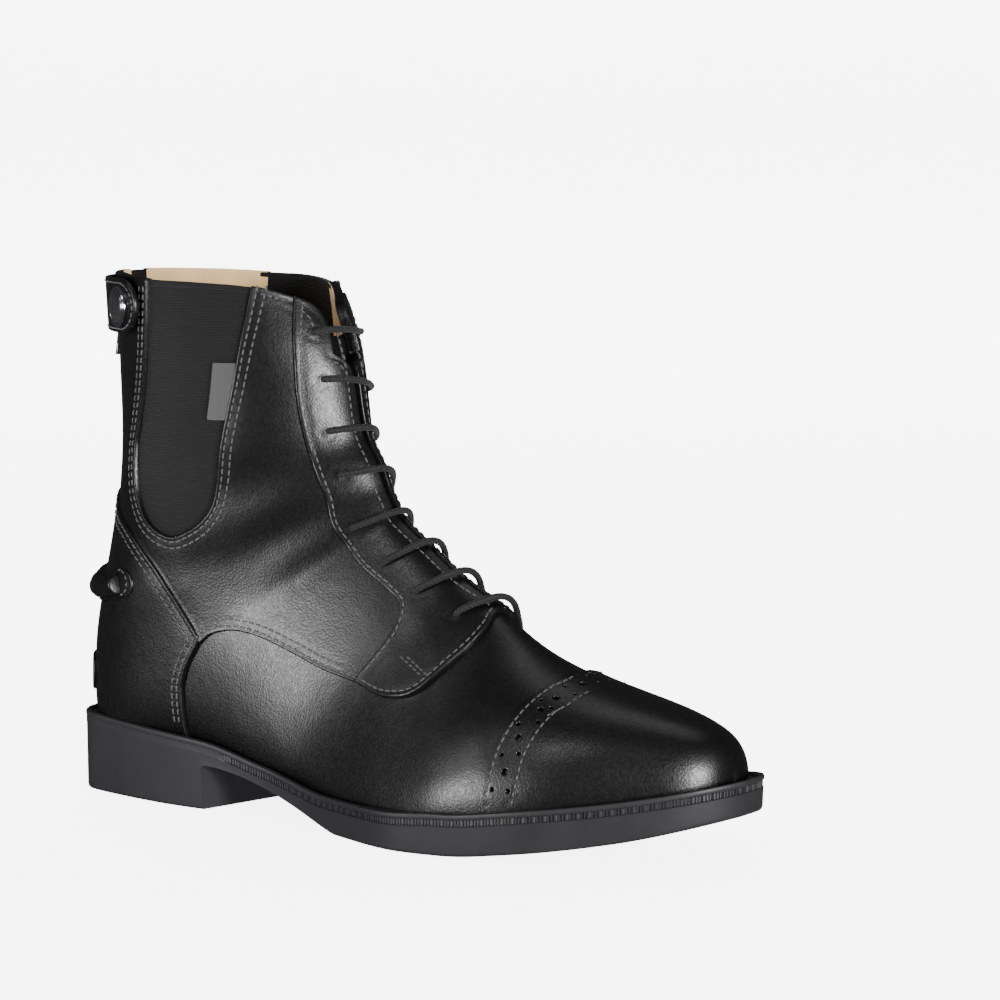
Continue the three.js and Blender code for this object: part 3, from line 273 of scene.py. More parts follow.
def hollows(p):
    """Soft waves of worn-in leather, in millimetres out: shallow folds at the ankle and the vamp."""
    x, y, z = p[..., 0], p[..., 1], p[..., 2]
    side = np.where(y < 0, 1.0, 0.8)
    out = 0.3 * np.sin(x / 13 + z / 21 + 0.6) * np.sin(z / 17 - x / 29)
    # Columns: middle in x and z, tilt in radians, reach along the fold, its width and depth.
    for cx, cz, tilt, reach, width, depth in (
        (78, 112, 0.5, 26, 6, 0.8), (86, 98, 0.62, 24, 5, 0.6), (64, 128, 0.42, 24, 7, 0.6),
        (124, 66, -0.95, 22, 6, 0.45), (150, 50, -1.1, 20, 6, 0.4), (22, 92, 0.2, 26, 8, 0.5),
    ):
        a = (x - cx) * math.cos(tilt) + (z - cz) * math.sin(tilt)
        b = -(x - cx) * math.sin(tilt) + (z - cz) * math.cos(tilt)
        out = out - side * depth * np.exp(-(a / reach) ** 2 - (b / width) ** 2)
        ridge = np.exp(-(a / reach) ** 2 - ((b - 1.7 * width) / width) ** 2)
        out = out + side * 0.6 * depth * ridge
    return out


def section_rings(rows, turns):
    """The last's rings at section rows, each at turns in radians from the front."""
    top, rise, foot, fall, outer, inner, shift, widest, crown, skirt = spline(LAST_SECTIONS, rows).T
    head = np.stack([top * LENGTH - TO_ORIGIN, bed_height(top) + rise * SHAFT], 1)
    heel = np.stack([foot * LENGTH - TO_ORIGIN, bed_height(foot) + fall * SHAFT], 1)
    up, across = np.cos(turns)[None], np.sin(turns)[None]
    power = 2 / np.where(up >= 0, crown[:, None], skirt[:, None])
    reach = np.where(up >= 0, widest[:, None], 1 - widest[:, None]) * np.abs(up) ** power
    down = widest[:, None] - np.sign(up) * reach
    half = BALL * np.where(across >= 0, outer[:, None], inner[:, None]) * np.abs(across) ** power
    y = BALL * shift[:, None] - np.sign(across) * half
    flat = head[:, None] + (heel - head)[:, None] * down[..., None]
    return np.stack([flat[..., 0], y, flat[..., 1]], 2)


def make_form():
    """The last's rings at even runs, smoothed, closed at the toe and waved like worn leather."""
    rows = np.linspace(0, len(LAST_SECTIONS) - 1, RINGS)
    ring = section_rings(rows, np.linspace(0, 2 * math.pi, 1441))
    grid = np.zeros((RINGS, SIDES, 3))
    for i, points in enumerate(ring):
        for start, stop, first in ((0, 721, 0), (720, 1441, SIDES // 2)):
            arc = points[start:stop]
            run = run_along(arc)
            want = np.linspace(0, run[-1], SIDES // 2 + 1)[:-1]
            for k in range(3):
                grid[i, first:first + SIDES // 2, k] = np.interp(want, run, arc[:, k])
    grid = soften(grid, SOFT_AROUND * SIDES, 1, True)
    grid = soften(grid, SOFT_ALONG * RINGS, 0, False)
    centre = grid[0].mean(0)
    tip = [centre + (grid[0] - centre) * share + np.array([0.9 * (1 - share ** 2), 0, 0])
           for share in TIP_RINGS]
    grid = np.concatenate([np.array(tip), grid])
    out = ways_out(grid)
    grid = grid + out * hollows(grid)[..., None]
    return grid, ways_out(grid)


def ways_out(grid):
    """Unit directions out of a grid of places."""
    lengthways = np.gradient(grid, axis=0)
    around = np.roll(grid, -1, 1) - np.roll(grid, 1, 1)
    out = np.cross(lengthways, around)
    return out / np.maximum(np.linalg.norm(out, axis=2), 1e-9)[..., None]


FORM, OUT = make_form()


def ring_of(row):
    """The grid ring of a section row."""
    return len(TIP_RINGS) + row * (RINGS - 1) / (len(LAST_SECTIONS) - 1)


def turned_place(row, turn):
    """The grid place of a section row at a turn in degrees."""
    point = section_rings(np.array([row]), np.radians([turn]))[0, 0]
    i = ring_of(row)
    j = int(np.argmin(((FORM[int(round(i))] - point) ** 2).sum(1)))
    return i, j


def sample(places, lift=0.0):
    """Points and ways out of the form at grid places (ring, side), lifted off it."""
    places = np.asarray(places, float)
    i = np.clip(places[:, 0], 0, len(FORM) - 1.001)
    j = places[:, 1] % SIDES
    i0, j0 = i.astype(int), j.astype(int) % SIDES
    a, b = (i - i0)[:, None], (j - np.floor(j))[:, None]
    j1 = (j0 + 1) % SIDES

    def mixed(grid):
        return ((1 - a) * (1 - b) * grid[i0, j0] + a * (1 - b) * grid[i0 + 1, j0]
                + (1 - a) * b * grid[i0, j1] + a * b * grid[i0 + 1, j1])

    out = mixed(OUT)
    out /= np.linalg.norm(out, axis=1)[:, None]
    return mixed(FORM) + out * np.reshape(lift, (-1, 1)), out


def locate(line, side):
    """Grid places of side-view points; side -1 is the outer side of the boot, 1 the inner."""
    line = np.asarray(line, float)
    first = 0 if side < 0 else SIDES // 2
    half = FORM[:, first:first + SIDES // 2]
    flat = half.reshape(-1, 3)[:, [0, 2]]
    places = []
    for point in line:
        k = int(np.argmin(((flat - point) ** 2).sum(1)))
        places.append((k // (SIDES // 2), first + k % (SIDES // 2)))
    places = np.array(places, float)
    for _ in range(6):
        here = sample(places)[0][:, [0, 2]]
        di = sample(places + [0.5, 0])[0][:, [0, 2]] - sample(places - [0.5, 0])[0][:, [0, 2]]
        dj = sample(places + [0, 0.5])[0][:, [0, 2]] - sample(places - [0, 0.5])[0][:, [0, 2]]
        det = di[:, 0] * dj[:, 1] - di[:, 1] * dj[:, 0]
        det = np.where(np.abs(det) < 0.05, 0.05 * np.where(det < 0, -1, 1), det)
        miss = line - here
        move = np.stack([(miss[:, 0] * dj[:, 1] - miss[:, 1] * dj[:, 0]) / det,
                         (di[:, 0] * miss[:, 1] - di[:, 1] * miss[:, 0]) / det], 1)
        places = places + np.clip(move, -2, 2)
        places[:, 0] = np.clip(places[:, 0], 0, len(FORM) - 1.01)
    return places


def at_front(rows, aside, side):
    """Grid places at a distance out from the middle of the boot's front, by section row."""
    places = []
    for row in rows:
        i = ring_of(row)
        steps = np.arange(0, SIDES // 4, 0.25)
        j = steps if side < 0 else SIDES - steps
        y = sample(np.stack([np.full(len(j), i), j], 1))[0][:, 1] * side
        places.append((i, np.interp(aside, y, j) if np.all(np.diff(y) > 0)
                       else j[int(np.argmax(y > aside))]))
    return np.array(places)


def back_ring(height):
    """The grid ring at a height on the middle of the boot's back, above the heel."""
    column = FORM[:, SIDES // 2, 2]
    low = int(ring_of(HEEL_ROW))
    return np.interp(height, column[low:], np.arange(low, len(column)))


# Outlines of the leather, closed far outside the boot where they run off it

def closed(line, *corners):
    return np.vstack([rounded(side_points(line)), np.array(corners, float)])


collar_points = rounded(side_points(COLLAR))
hem_points = rounded(side_points(HEM))
counter_points = side_points(COUNTER)
counter_top = rounded(counter_points[:JUNCTION + 1])
counter_front = rounded(counter_points[JUNCTION:])
facing_points = rounded(side_points(FACING))
gore_points = rounded(side_points(GORE))
cap_points = rounded(side_points(CAP))
COLLAR_AREA = np.vstack([collar_points, collar_points[-1] + [6, 0], (FAR, collar_points[-1][1]),
                         (FAR, -FAR), (-FAR, -FAR)])
QUARTER_AREA = np.vstack([counter_top[:-2], hem_points, (hem_points[-1][0], FAR),
                          (counter_top[0][0], FAR)])
FACING_AREA = np.vstack([facing_points, hem_points[hem_points[:, 0] > facing_points[-1][0] + 0.5],
                         (hem_points[-1][0], FAR), (facing_points[0][0], FAR)])
COUNTER_AREA = np.vstack([counter_top, counter_front[1:], (-FAR, counter_front[-1][1]),
                          (-FAR, counter_top[0][1])])
CAP_AREA = np.vstack([cap_points, (FAR, FAR), (FAR, -FAR)])
GORE_AREA = gore_points
TONGUE_AREA = closed(TONGUE_BACK, (side_points([(0.67, 0.6)])[0][0], FAR),
                     (side_points(TONGUE_BACK[:1])[0][0], FAR))
THROAT_AREA = np.vstack([rounded(side_points(TONGUE_BACK)),
                         side_points([(0.63, 0.385), (0.623, 0.45)]), (hem_points[-1][0], FAR),
                         (side_points(TONGUE_BACK[:1])[0][0], FAR)])
# How far the leather runs down behind the sole's rim.
BED_LOW = 1.4


def below_collar(v):
    return inside(COLLAR_AREA, v[:, 0], v[:, 2])


def above_bed(v):
    return v[:, 2] - bed_height((v[:, 0] + TO_ORIGIN) / LENGTH) + BED_LOW


def off_gore(v):
    return -inside(GORE_AREA, v[:, 0], v[:, 2])


def off_zip(v):
    bottom = bed_height(0) + ZIP_BOTTOM * SHAFT
    slit = np.minimum(np.minimum(5.0 - np.abs(v[:, 1]), 20.0 - v[:, 0]), v[:, 2] - bottom)
    return -slit


def off_throat(v):
    return -np.minimum(inside(THROAT_AREA, v[:, 0], v[:, 2]), THROAT_HALF - np.abs(v[:, 1]))


def least(*parts):
    """The smallest of several distances, which is where their areas overlap."""
    return np.minimum.reduce(parts)


# Cutting and thickening sheets of the form

def form_sheet():
    """The form as one sheet of triangles; each vertex has its place and its way out."""
    n = len(FORM)
    i, j = np.meshgrid(np.arange(n - 1), np.arange(SIDES), indexing="ij")
    a, b = i * SIDES + j, (i + 1) * SIDES + j
    c, d = (i + 1) * SIDES + (j + 1) % SIDES, i * SIDES + (j + 1) % SIDES
    a, b, c, d = (k.ravel() for k in (a, b, c, d))
    triangles = np.concatenate([np.stack([a, b, c], 1), np.stack([a, c, d], 1)])
    return np.concatenate([FORM.reshape(-1, 3), OUT.reshape(-1, 3)], 1), triangles


SHEET = form_sheet()


def tidy(v, t):
    """Drops the vertices that no triangle uses."""
    used, t = np.unique(t, return_inverse=True)
    return v[used], t.reshape(-1, 3)


def split(v, t, choose):
    """Splits marked edges and rebuilds the triangles round them.

    choose gets the ends of each edge and gives the marks and where to split.
    """
    a, b = t, t[:, [1, 2, 0]]
    low, high = np.minimum(a, b).astype(np.int64), np.maximum(a, b).astype(np.int64)
    key, back = np.unique(low * len(v) + high, return_inverse=True)
    back = back.reshape(-1, 3)
    ends = key // len(v), key % len(v)
    mark, share = choose(*ends)
    share = share[mark][:, None]
    fresh = v[ends[0][mark]] * (1 - share) + v[ends[1][mark]] * share
    number = np.full(len(key), -1)
    number[mark] = len(v) + np.arange(mark.sum())
    p, q, r = number[back].T
    a, b, c = t.T
    code = (p >= 0) * 1 + (q >= 0) * 2 + (r >= 0) * 4
    parts = {
        0: [(a, b, c)], 1: [(a, p, c), (p, b, c)], 2: [(a, b, q), (a, q, c)],
        4: [(a, b, r), (b, c, r)], 3: [(p, b, q), (a, p, q), (a, q, c)],
        6: [(r, q, c), (a, b, r), (b, q, r)], 5: [(a, p, r), (p, b, r), (b, c, r)],
        7: [(a, p, r), (p, b, q), (r, q, c), (p, q, r)],
    }
    out = []
    for which, pieces in parts.items():
        chosen = code == which
        out += [np.stack([k[chosen] for k in piece], 1) for piece in pieces]
    return np.concatenate([v, fresh]), np.concatenate(out)


def refine(v, t, near):
    """Halves the edges of the triangles that have a corner marked near."""
    hit = near[t].any(1)
    edges = np.concatenate([t[hit][:, [0, 1]], t[hit][:, [1, 2]], t[hit][:, [2, 0]]])
    edges.sort(axis=1)
    chosen = np.unique(edges[:, 0].astype(np.int64) * len(v) + edges[:, 1])

    def choose(i, k):
        return np.isin(i * len(v) + k, chosen), np.full(len(i), 0.5)

    return split(v, t, choose)


def cut_at(v, t, f, level):
    """Splits the sheet along a level of a distance that each vertex has."""
    g = f - level
    g = np.where(np.abs(g) < 1e-6, 1e-6, g)
    packed = np.concatenate([v, f[:, None]], 1)

    def choose(i, k):
        mark = (g[i] > 0) != (g[k] > 0)
        return mark, np.where(mark, g[i] / np.where(mark, g[i] - g[k], 1), 0.5)

    packed, t = split(packed, t, choose)
    return packed[:, :-1], t, packed[:, -1]


def panel(region, top, bottom, rim=0.5, under=0.0, dips=(), seam=None, holes=(), coarse=False):
    """A piece of leather on the form, from the distance inside its edge that region gives.

    top and bottom are heights above the form, rim and under the radii of its upper and lower
    edges, dips are (distance in from the seam, or else the edge, depth, width) of grooves, and
    holes are (centre, radius). Returns vertices, triangles and the first inner triangle's number.
    """
    v, t = SHEET
    f = region(v)
    v, t = tidy(v, t[(f[t] > -3.0).any(1)])
    hole_centres = np.array([centre for centre, _ in holes]).reshape(-1, 3)
    hole_radii = np.array([radius for _, radius in holes])

    def distance(v):
        f = region(v)
        for centre, radius in zip(hole_centres, hole_radii):
            f = np.minimum(f, np.linalg.norm(v[:, :3] - centre, axis=1) - radius)
        return f

    def near_holes(v, reach):
        near = np.zeros(len(v), bool)
        for centre, radius in zip(hole_centres, hole_radii):
            near |= np.linalg.norm(v[:, :3] - centre, axis=1) < radius + reach
        return near

    if not coarse:
        v, t = refine(v, t, np.abs(region(v)) < 1.3)
    if len(holes):
        for reach in (1.6, 0.9, 0.5):
            v, t = refine(v, t, near_holes(v, reach))
    f = distance(v)
    for level in (0.0, 0.3 * rim, 0.7 * rim, 1.3 * rim):
        v, t, f = cut_at(v, t, f, level)
        if level == 0.0:
            keep = f[t].mean(1) > 0
            both = np.concatenate([v, f[:, None]], 1)
            both, t = tidy(both, t[keep])
            v, f = both[:, :-1], np.maximum(both[:, -1], 0)
    lift = top(v) if callable(top) else np.full(len(v), float(top))
    sink = bottom(v) if callable(bottom) else np.full(len(v), float(bottom))

    def roll(radius):
        share = np.clip(f / max(radius, 1e-6), 0, 1)
        return radius * (1 - np.sqrt(np.clip(1 - (1 - share) ** 2, 0, 1)))

    lift = lift - roll(rim)
    aside = seam(v) if seam else f
    for place, depth, width in dips:
        lift = lift - depth * np.exp(-((aside - place) / width) ** 2)
    if under:
        sink = sink + roll(under)
    v[:, 3:6] /= np.linalg.norm(v[:, 3:6], axis=1)[:, None]
    upper = v[:, :3] + v[:, 3:6] * lift[:, None]
    lower = v[:, :3] + v[:, 3:6] * sink[:, None]
    edges = np.concatenate([t[:, [0, 1]], t[:, [1, 2]], t[:, [2, 0]]])
    order = np.sort(edges, 1)
    key = order[:, 0].astype(np.int64) * len(v) + order[:, 1]
    _, first, count = np.unique(key, return_index=True, return_counts=True)
    rim_edges = edges[first[count == 1]]
    a, b = rim_edges.T
    n = len(v)
    walls = np.concatenate([np.stack([b, a, a + n], 1), np.stack([b, a + n, b + n], 1)])
    triangles = np.concatenate([t, walls, t[:, ::-1] + n])
    return np.concatenate([upper, lower]), triangles, len(t) + len(walls)


# Making objects

def in_scene(name, data):
    """A new object in the scene, for a mesh, a lamp or a camera."""
    thing = bpy.data.objects.new(name, data)
    bpy.context.scene.collection.objects.link(thing)
    return thing


def put(name, vertices, faces, materials, body="boot", inner_from=None, corner=60, uvs=None):
    """A mesh object from millimetres, smooth up to a corner angle, riding on a CAD body."""
    mesh = bpy.data.meshes.new(name)
    mesh.from_pydata((np.asarray(vertices) * MM).tolist(), [], np.asarray(faces).tolist()
                     if isinstance(faces, np.ndarray) else faces)
    if uvs is not None:
        layer = mesh.uv_layers.new(name="along")
        index = np.zeros(len(mesh.loops), int)
        mesh.loops.foreach_get("vertex_index", index)
        layer.data.foreach_set("uv", np.asarray(uvs)[index].ravel())
    mesh.validate()
    mesh.shade_smooth()
    mesh.set_sharp_from_angle(angle=math.radians(corner))
    for material in materials:
        mesh.materials.append(material)
    if inner_from is not None:
        numbers = np.zeros(len(mesh.polygons), int)
        numbers[inner_from:] = 1
        mesh.polygons.foreach_set("material_index", numbers)
    thing = in_scene(name, mesh)
    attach(thing, body)
    return thing


def tube(path, radius, sides):
    """Vertices, faces and lengthways UVs of a round cord along a path of points."""
    path = np.asarray(path, float)
    along = np.gradient(path, axis=0)
    along /= np.linalg.norm(along, axis=1)[:, None]
    across = np.zeros_like(path)
    start = np.cross(along[0], [0.3, 0.2, 0.93])
    across[0] = start / np.linalg.norm(start)
    for k in range(1, len(path)):
        side = across[k - 1] - along[k] * np.dot(across[k - 1], along[k])
        across[k] = side / np.linalg.norm(side)
    up = np.cross(along, across)
    radius = np.broadcast_to(radius, (len(path),))
    turn = np.arange(sides) / sides * 2 * math.pi
    cos, sin = np.cos(turn)[None, :, None], np.sin(turn)[None, :, None]
    ring = cos * across[:, None] + sin * up[:, None]
    points = path[:, None] + ring * radius[:, None, None]
    run = run_along(path)
    uvs = np.stack(np.broadcast_arrays(turn[None] / (2 * math.pi), run[:, None]), 2).reshape(-1, 2)
    i, j = np.meshgrid(np.arange(len(path) - 1), np.arange(sides), indexing="ij")
    a, b = i * sides + j, i * sides + (j + 1) % sides
    faces = np.stack([a, b, b + sides, a + sides], 2).reshape(-1, 4).tolist()
    faces.append(list(range(sides))[::-1])
    faces.append([(len(path) - 1) * sides + k for k in range(sides)])
    return points.reshape(-1, 3), faces, uvs


def join(parts):
    """Several (vertices, faces) as one."""
    vertices, faces, n = [], [], 0
    for part in parts:
        vertices.append(np.asarray(part[0]))
        faces += [[k + n for k in face] for face in part[1]]
        n += len(part[0])
    return np.concatenate(vertices), faces


def turned(profile, sides=48):
    """A shape turned about +Z from (radius, height) pairs; radius 0 closes it."""
    vertices, faces, rings = [], [], []
    for radius, height in profile:
        if radius == 0:
            rings.append([len(vertices)] * sides)
            vertices.append((0, 0, height))
        else:
            rings.append(list(range(len(vertices), len(vertices) + sides)))
            for k in range(sides):
                a = 2 * math.pi * k / sides
                vertices.append((radius * math.cos(a), radius * math.sin(a), height))
    for low, high in zip(rings, rings[1:]):
        for k in range(sides):
            n = (k + 1) % sides
            face = list(dict.fromkeys([low[k], low[n], high[n], high[k]]))
            if len(face) > 2:
                faces.append(face)
    return np.array(vertices, float), faces


def stood(vertices, point, way_out, lift):
    """Turns +Z to a way out and moves the shape to a point of the form."""
    turn = Vector((0, 0, 1)).rotation_difference(Vector(way_out)).to_matrix()
    return vertices @ np.array(turn).T + point + np.asarray(way_out) * lift


# Threads

# Columns: share of half a stitch's length, drop and thickness in radii of the thread.
STITCH_SHAPE = ((-1, 1.5, 0.5), (-0.8, 0.35, 0.9), (-0.35, 0, 1), (0.35, 0, 1),
                (0.8, 0.35, 0.9), (1, 1.5, 0.5))
THREAD_SIDES = 6
ROW_MISS = 0.5


def stitch_row(points, outs, pitch, length, radius):
    """Stitches along a line of points: short rounded bars that sink in at both ends."""
    run = run_along(points)
    count = max(int(run[-1] / pitch), 1)
    middles = (np.arange(count) + 0.5) * run[-1] / count
    shape = [(share * length / 2, -drop * radius, thick * radius)
             for share, drop, thick in STITCH_SHAPE]
    n, last = THREAD_SIDES, len(STITCH_SHAPE) - 1
    faces = [[r * n + k, r * n + (k + 1) % n, (r + 1) * n + (k + 1) % n, (r + 1) * n + k]
             for r in range(last) for k in range(n)]
    faces += [list(range(n))[::-1], list(range(last * n, last * n + n))]
    parts = []
    turn = np.arange(n) / n * 2 * math.pi
    for middle in middles:
        rings = []
        spots = middle + np.array([s for s, _, _ in shape])
        p = np.stack([np.interp(spots, run, points[:, k]) for k in range(3)], 1)
        o = np.array([np.interp(middle, run, outs[:, k]) for k in range(3)])
        o /= np.linalg.norm(o)
        along = p[-1] - p[0]
        along /= max(np.linalg.norm(along), 1e-9)
        side = np.cross(o, along)
        for (_, drop, thick), place in zip(shape, p):
            centre = place + o * (drop + 0.35 * radius)
            ring = np.cos(turn)[:, None] * side + np.sin(turn)[:, None] * o
            rings.append(centre + thick * ring)
        parts.append((np.concatenate(rings), faces))
    return parts


def side_rows(line, lift, offsets=(0,), low=None, high=None, right=None, left=None):
    """Rows of thread along a side-view line, on both sides of the boot.

    Points that lie beyond the boot's outline, and so miss the form, are left out.
    """
    rows = []
    for offset in offsets:
        moved = beside(line, offset)
        keep = np.ones(len(moved), bool)
        keep &= moved[:, 1] > low if low is not None else True
        keep &= moved[:, 1] < high if high is not None else True
        keep &= moved[:, 0] > left if left is not None else True
        keep &= moved[:, 0] < right if right is not None else True
        moved = moved[keep]
        for side in (-1, 1):
            places = locate(moved, side)
            on_form = np.linalg.norm(sample(places)[0][:, [0, 2]] - moved, axis=1) < ROW_MISS
            rows.append(sample(places[on_form], lift))
    return rows


def sew(name, rows, material, pitch, length=2.5, radius=0.34):
    """One piece from the stitches of several rows."""
    parts = []
    for points, outs in rows:
        parts += stitch_row(points, outs, pitch, length, radius)
    vertices, faces = join(parts)
    return put(name, vertices, faces, [material], corner=80)


# Materials

def tint(code):
    """An sRGB hex colour as linear RGBA."""
    parts = [int(code[k:k + 2], 16) / 255 for k in (1, 3, 5)]
    return [c / 12.92 if c <= 0.04045 else ((c + 0.055) / 1.055) ** 2.4 for c in parts] + [1.0]


def add(tree, kind, settings=None, **inputs):
    """Adds a node, sets its properties and fills or links its inputs by name or number."""
    node = tree.nodes.new(kind)
    for key, value in (settings or {}).items():
        setattr(node, key, value)
    for key, value in inputs.items():
        socket = node.inputs[int(key[1:])] if key[0] == "n" and key[1:].isdigit() else node.inputs[
            key.replace("_", " ")]
        if isinstance(value, bpy.types.NodeSocket):
            tree.links.new(value, socket)
        else:
            socket.default_value = value
    return node


def surface(name, colour, roughness, coat=0.0, coat_roughness=0.2, metallic=0.0, specular=0.5,
            sheen=0.0):
    """A material with its shader: returns material, tree, shader and place socket."""
    material = bpy.data.materials.new(name)
    material.use_nodes = True
    tree = material.node_tree
    tree.nodes.clear()
    shader = add(tree, "ShaderNodeBsdfPrincipled", None, Base_Color=tint(colour),
                 Roughness=roughness, Metallic=metallic)
    shader.inputs["Specular IOR Level"].default_value = specular
    shader.inputs["Coat Weight"].default_value = coat
    shader.inputs["Coat Roughness"].default_value = coat_roughness
    shader.inputs["Sheen Weight"].default_value = sheen
    out = add(tree, "ShaderNodeOutputMaterial")
    tree.links.new(shader.outputs["BSDF"], out.inputs["Surface"])
    place = add(tree, "ShaderNodeTexCoord").outputs["Object"]
    return material, tree, shader, place


def smooth_black_leather(colour):
    """Corrected-grain leather, satin: deep black with broad soft highlights and fine pores."""
    material, tree, shader, place = surface("smooth_black_leather", colour, 0.36, specular=0.36)
    pores = add(tree, "ShaderNodeTexVoronoi", {"feature": "F1"}, Vector=place, Scale=1 / (0.8 * MM))
    grain = add(tree, "ShaderNodeTexNoise", None, Vector=place, Scale=1 / (1.3 * MM), Detail=4.0)
    waves = add(tree, "ShaderNodeTexNoise", None, Vector=place, Scale=1 / (19 * MM), Detail=2.0)
    pored = add(tree, "ShaderNodeBump", None, Height=pores.outputs["Distance"], Strength=0.35,
                Distance=0.12 * MM)
    grained = add(tree, "ShaderNodeBump", None, Height=grain.outputs["Fac"], Strength=0.26,
                  Distance=0.1 * MM, Normal=pored.outputs["Normal"])
    waved = add(tree, "ShaderNodeBump", None, Height=waves.outputs["Fac"], Strength=0.3,
                Distance=1.0 * MM, Normal=grained.outputs["Normal"])
    tree.links.new(waved.outputs["Normal"], shader.inputs["Normal"])
    rough = add(tree, "ShaderNodeMapRange", None, Value=grain.outputs["Fac"], From_Min=0.3,
                From_Max=0.7, To_Min=0.32, To_Max=0.41)
    tree.links.new(rough.outputs["Result"], shader.inputs["Roughness"])
    return material


def moulded_black_rubber(colour):
    """Thermoplastic rubber from a fine-blasted mould: dark grey, matt, with a faint even bloom."""
    material, tree, shader, place = surface("moulded_black_rubber", colour, 0.52, specular=0.32)
    blast = add(tree, "ShaderNodeTexNoise", None, Vector=place, Scale=1 / (0.5 * MM), Detail=3.0)
    cloud = add(tree, "ShaderNodeTexNoise", None, Vector=place, Scale=1 / (14 * MM), Detail=3.0)
    blasted = add(tree, "ShaderNodeBump", None, Height=blast.outputs["Fac"], Strength=0.22,
                  Distance=0.1 * MM)
    tree.links.new(blasted.outputs["Normal"], shader.inputs["Normal"])
    rough = add(tree, "ShaderNodeMapRange", None, Value=cloud.outputs["Fac"], From_Min=0.3,
                From_Max=0.7, To_Min=0.5, To_Max=0.62)
    tree.links.new(rough.outputs["Result"], shader.inputs["Roughness"])
    return material


def undyed_lining_leather(colour):
    """Vegetable-tanned pigskin, undyed: a warm tan with a soft nap and scattered pores."""
    material, tree, shader, place = surface("undyed_lining_leather", colour, 0.78, sheen=0.15)
    pores = add(tree, "ShaderNodeTexVoronoi", {"feature": "F1"}, Vector=place, Scale=1 / (1.6 * MM))
    pored = add(tree, "ShaderNodeBump", None, Height=pores.outputs["Distance"], Strength=0.35,
                Distance=0.2 * MM)
    tree.links.new(pored.outputs["Normal"], shader.inputs["Normal"])
    cloud = add(tree, "ShaderNodeTexNoise", None, Vector=place, Scale=1 / (7 * MM), Detail=4.0)
    shade = add(tree, "ShaderNodeMix", {"data_type": "RGBA"}, Factor=cloud.outputs["Fac"])
    shade.inputs[6].default_value = tint(colour)
    shade.inputs[7].default_value = tint("#b08e62")
    tree.links.new(shade.outputs[2], shader.inputs["Base Color"])
    return material


def ribbed_elastic(colour):
    """Woven shoe elastic: covered rubber warps under fine level ribs of cotton weft, quite matt.

    The ribs are 0.8 mm apart on a real one and are drawn at 0.95 mm so that they show.
    """
    material, tree, shader, place = surface("ribbed_elastic", colour, 0.86, sheen=0.03,
                                            specular=0.2)
    wave = add(tree, "ShaderNodeTexWave", {"wave_type": "BANDS", "bands_direction": "Z",
               "wave_profile": "SIN"}, Vector=place, Scale=math.pi / (10 * 0.95 * MM),
               Distortion=0.5, Detail=2.0, Detail_Scale=2.0)
    weft = add(tree, "ShaderNodeTexNoise", None, Vector=place, Scale=1 / (0.7 * MM), Detail=2.0)
    ribbed = add(tree, "ShaderNodeBump", None, Height=wave.outputs["Fac"], Strength=0.7,
                 Distance=0.22 * MM)
    woven = add(tree, "ShaderNodeBump", None, Height=weft.outputs["Fac"], Strength=0.5,
                Distance=0.15 * MM, Normal=ribbed.outputs["Normal"])
    tree.links.new(woven.outputs["Normal"], shader.inputs["Normal"])
    # Painted shade: the colour follows the ribs' height, near black in the valleys between them and
    # the elastic's own colour on their tops.
    shade = add(tree, "ShaderNodeMix", {"data_type": "RGBA"}, Factor=wave.outputs["Fac"])
    shade.inputs[6].default_value = tint("#050505")
    shade.inputs[7].default_value = tint(colour)
    tree.links.new(shade.outputs[2], shader.inputs["Base Color"])
    return material


def grey_waxed_thread(colour):
    """Bonded nylon sewing thread: a tight smooth strand that catches small points of light."""
    return surface("grey_waxed_thread", colour, 0.5, sheen=0.1)[0]


def braided_cord(colour):
    """Round braided elastic lace: polyester strands crossing at a slant over a rubber core."""
    material, tree, shader, _ = surface("braided_cord", colour, 0.7, specular=0.25, sheen=0.03)
    uv = add(tree, "ShaderNodeTexCoord").outputs["UV"]
    heights = []
    for slant in (1.0, -1.0):
        mapped = add(tree, "ShaderNodeMapping", None, Vector=uv, Scale=(6.0, slant / 1.3, 1.0))
        wave = add(tree, "ShaderNodeTexWave", {"wave_type": "BANDS", "bands_direction": "DIAGONAL"},
                   Vector=mapped.outputs["Vector"], Scale=0.5)
        heights.append(wave.outputs["Fac"])
    crossing = add(tree, "ShaderNodeMath", {"operation": "MAXIMUM"}, n0=heights[0], n1=heights[1])
    braided = add(tree, "ShaderNodeBump", None, Height=crossing.outputs["Value"], Strength=0.7,
                  Distance=0.25 * MM)
    tree.links.new(braided.outputs["Normal"], shader.inputs["Normal"])
    return material


def woven_label(colour):
    """Damask-woven polyester ribbon: grey satin with a fine warp and weft, left bare."""
    material, tree, shader, place = surface("woven_label", colour, 0.62, sheen=0.2)
    warp = add(tree, "ShaderNodeTexWave", {"bands_direction": "X"}, Vector=place,
               Scale=math.pi / (10 * 0.6 * MM))
    weft = add(tree, "ShaderNodeTexWave", {"bands_direction": "Z"}, Vector=place,
               Scale=math.pi / (10 * 0.45 * MM))
    cross = add(tree, "ShaderNodeMath", {"operation": "ADD"}, n0=warp.outputs["Fac"],
                n1=weft.outputs["Fac"])
    woven = add(tree, "ShaderNodeBump", None, Height=cross.outputs["Value"], Strength=0.4,
                Distance=0.12 * MM)
    tree.links.new(woven.outputs["Normal"], shader.inputs["Normal"])
    return material


def black_enamel(colour):
    """Stove-enamelled steel: a glassy black that mirrors the lights with a slight softness."""
    return surface("black_enamel", colour, 0.22, coat=0.7, coat_roughness=0.06)[0]


def polished_chrome(colour):
    """Chrome-plated brass, polished: bright, nearly a mirror, slightly warm from the pale room."""
    return surface("polished_chrome", colour, 0.13, metallic=1.0)[0]


def nylon_zip(colour):
    """Moulded nylon coil: black, slightly waxy."""
    return surface("nylon_zip", colour, 0.42)[0]


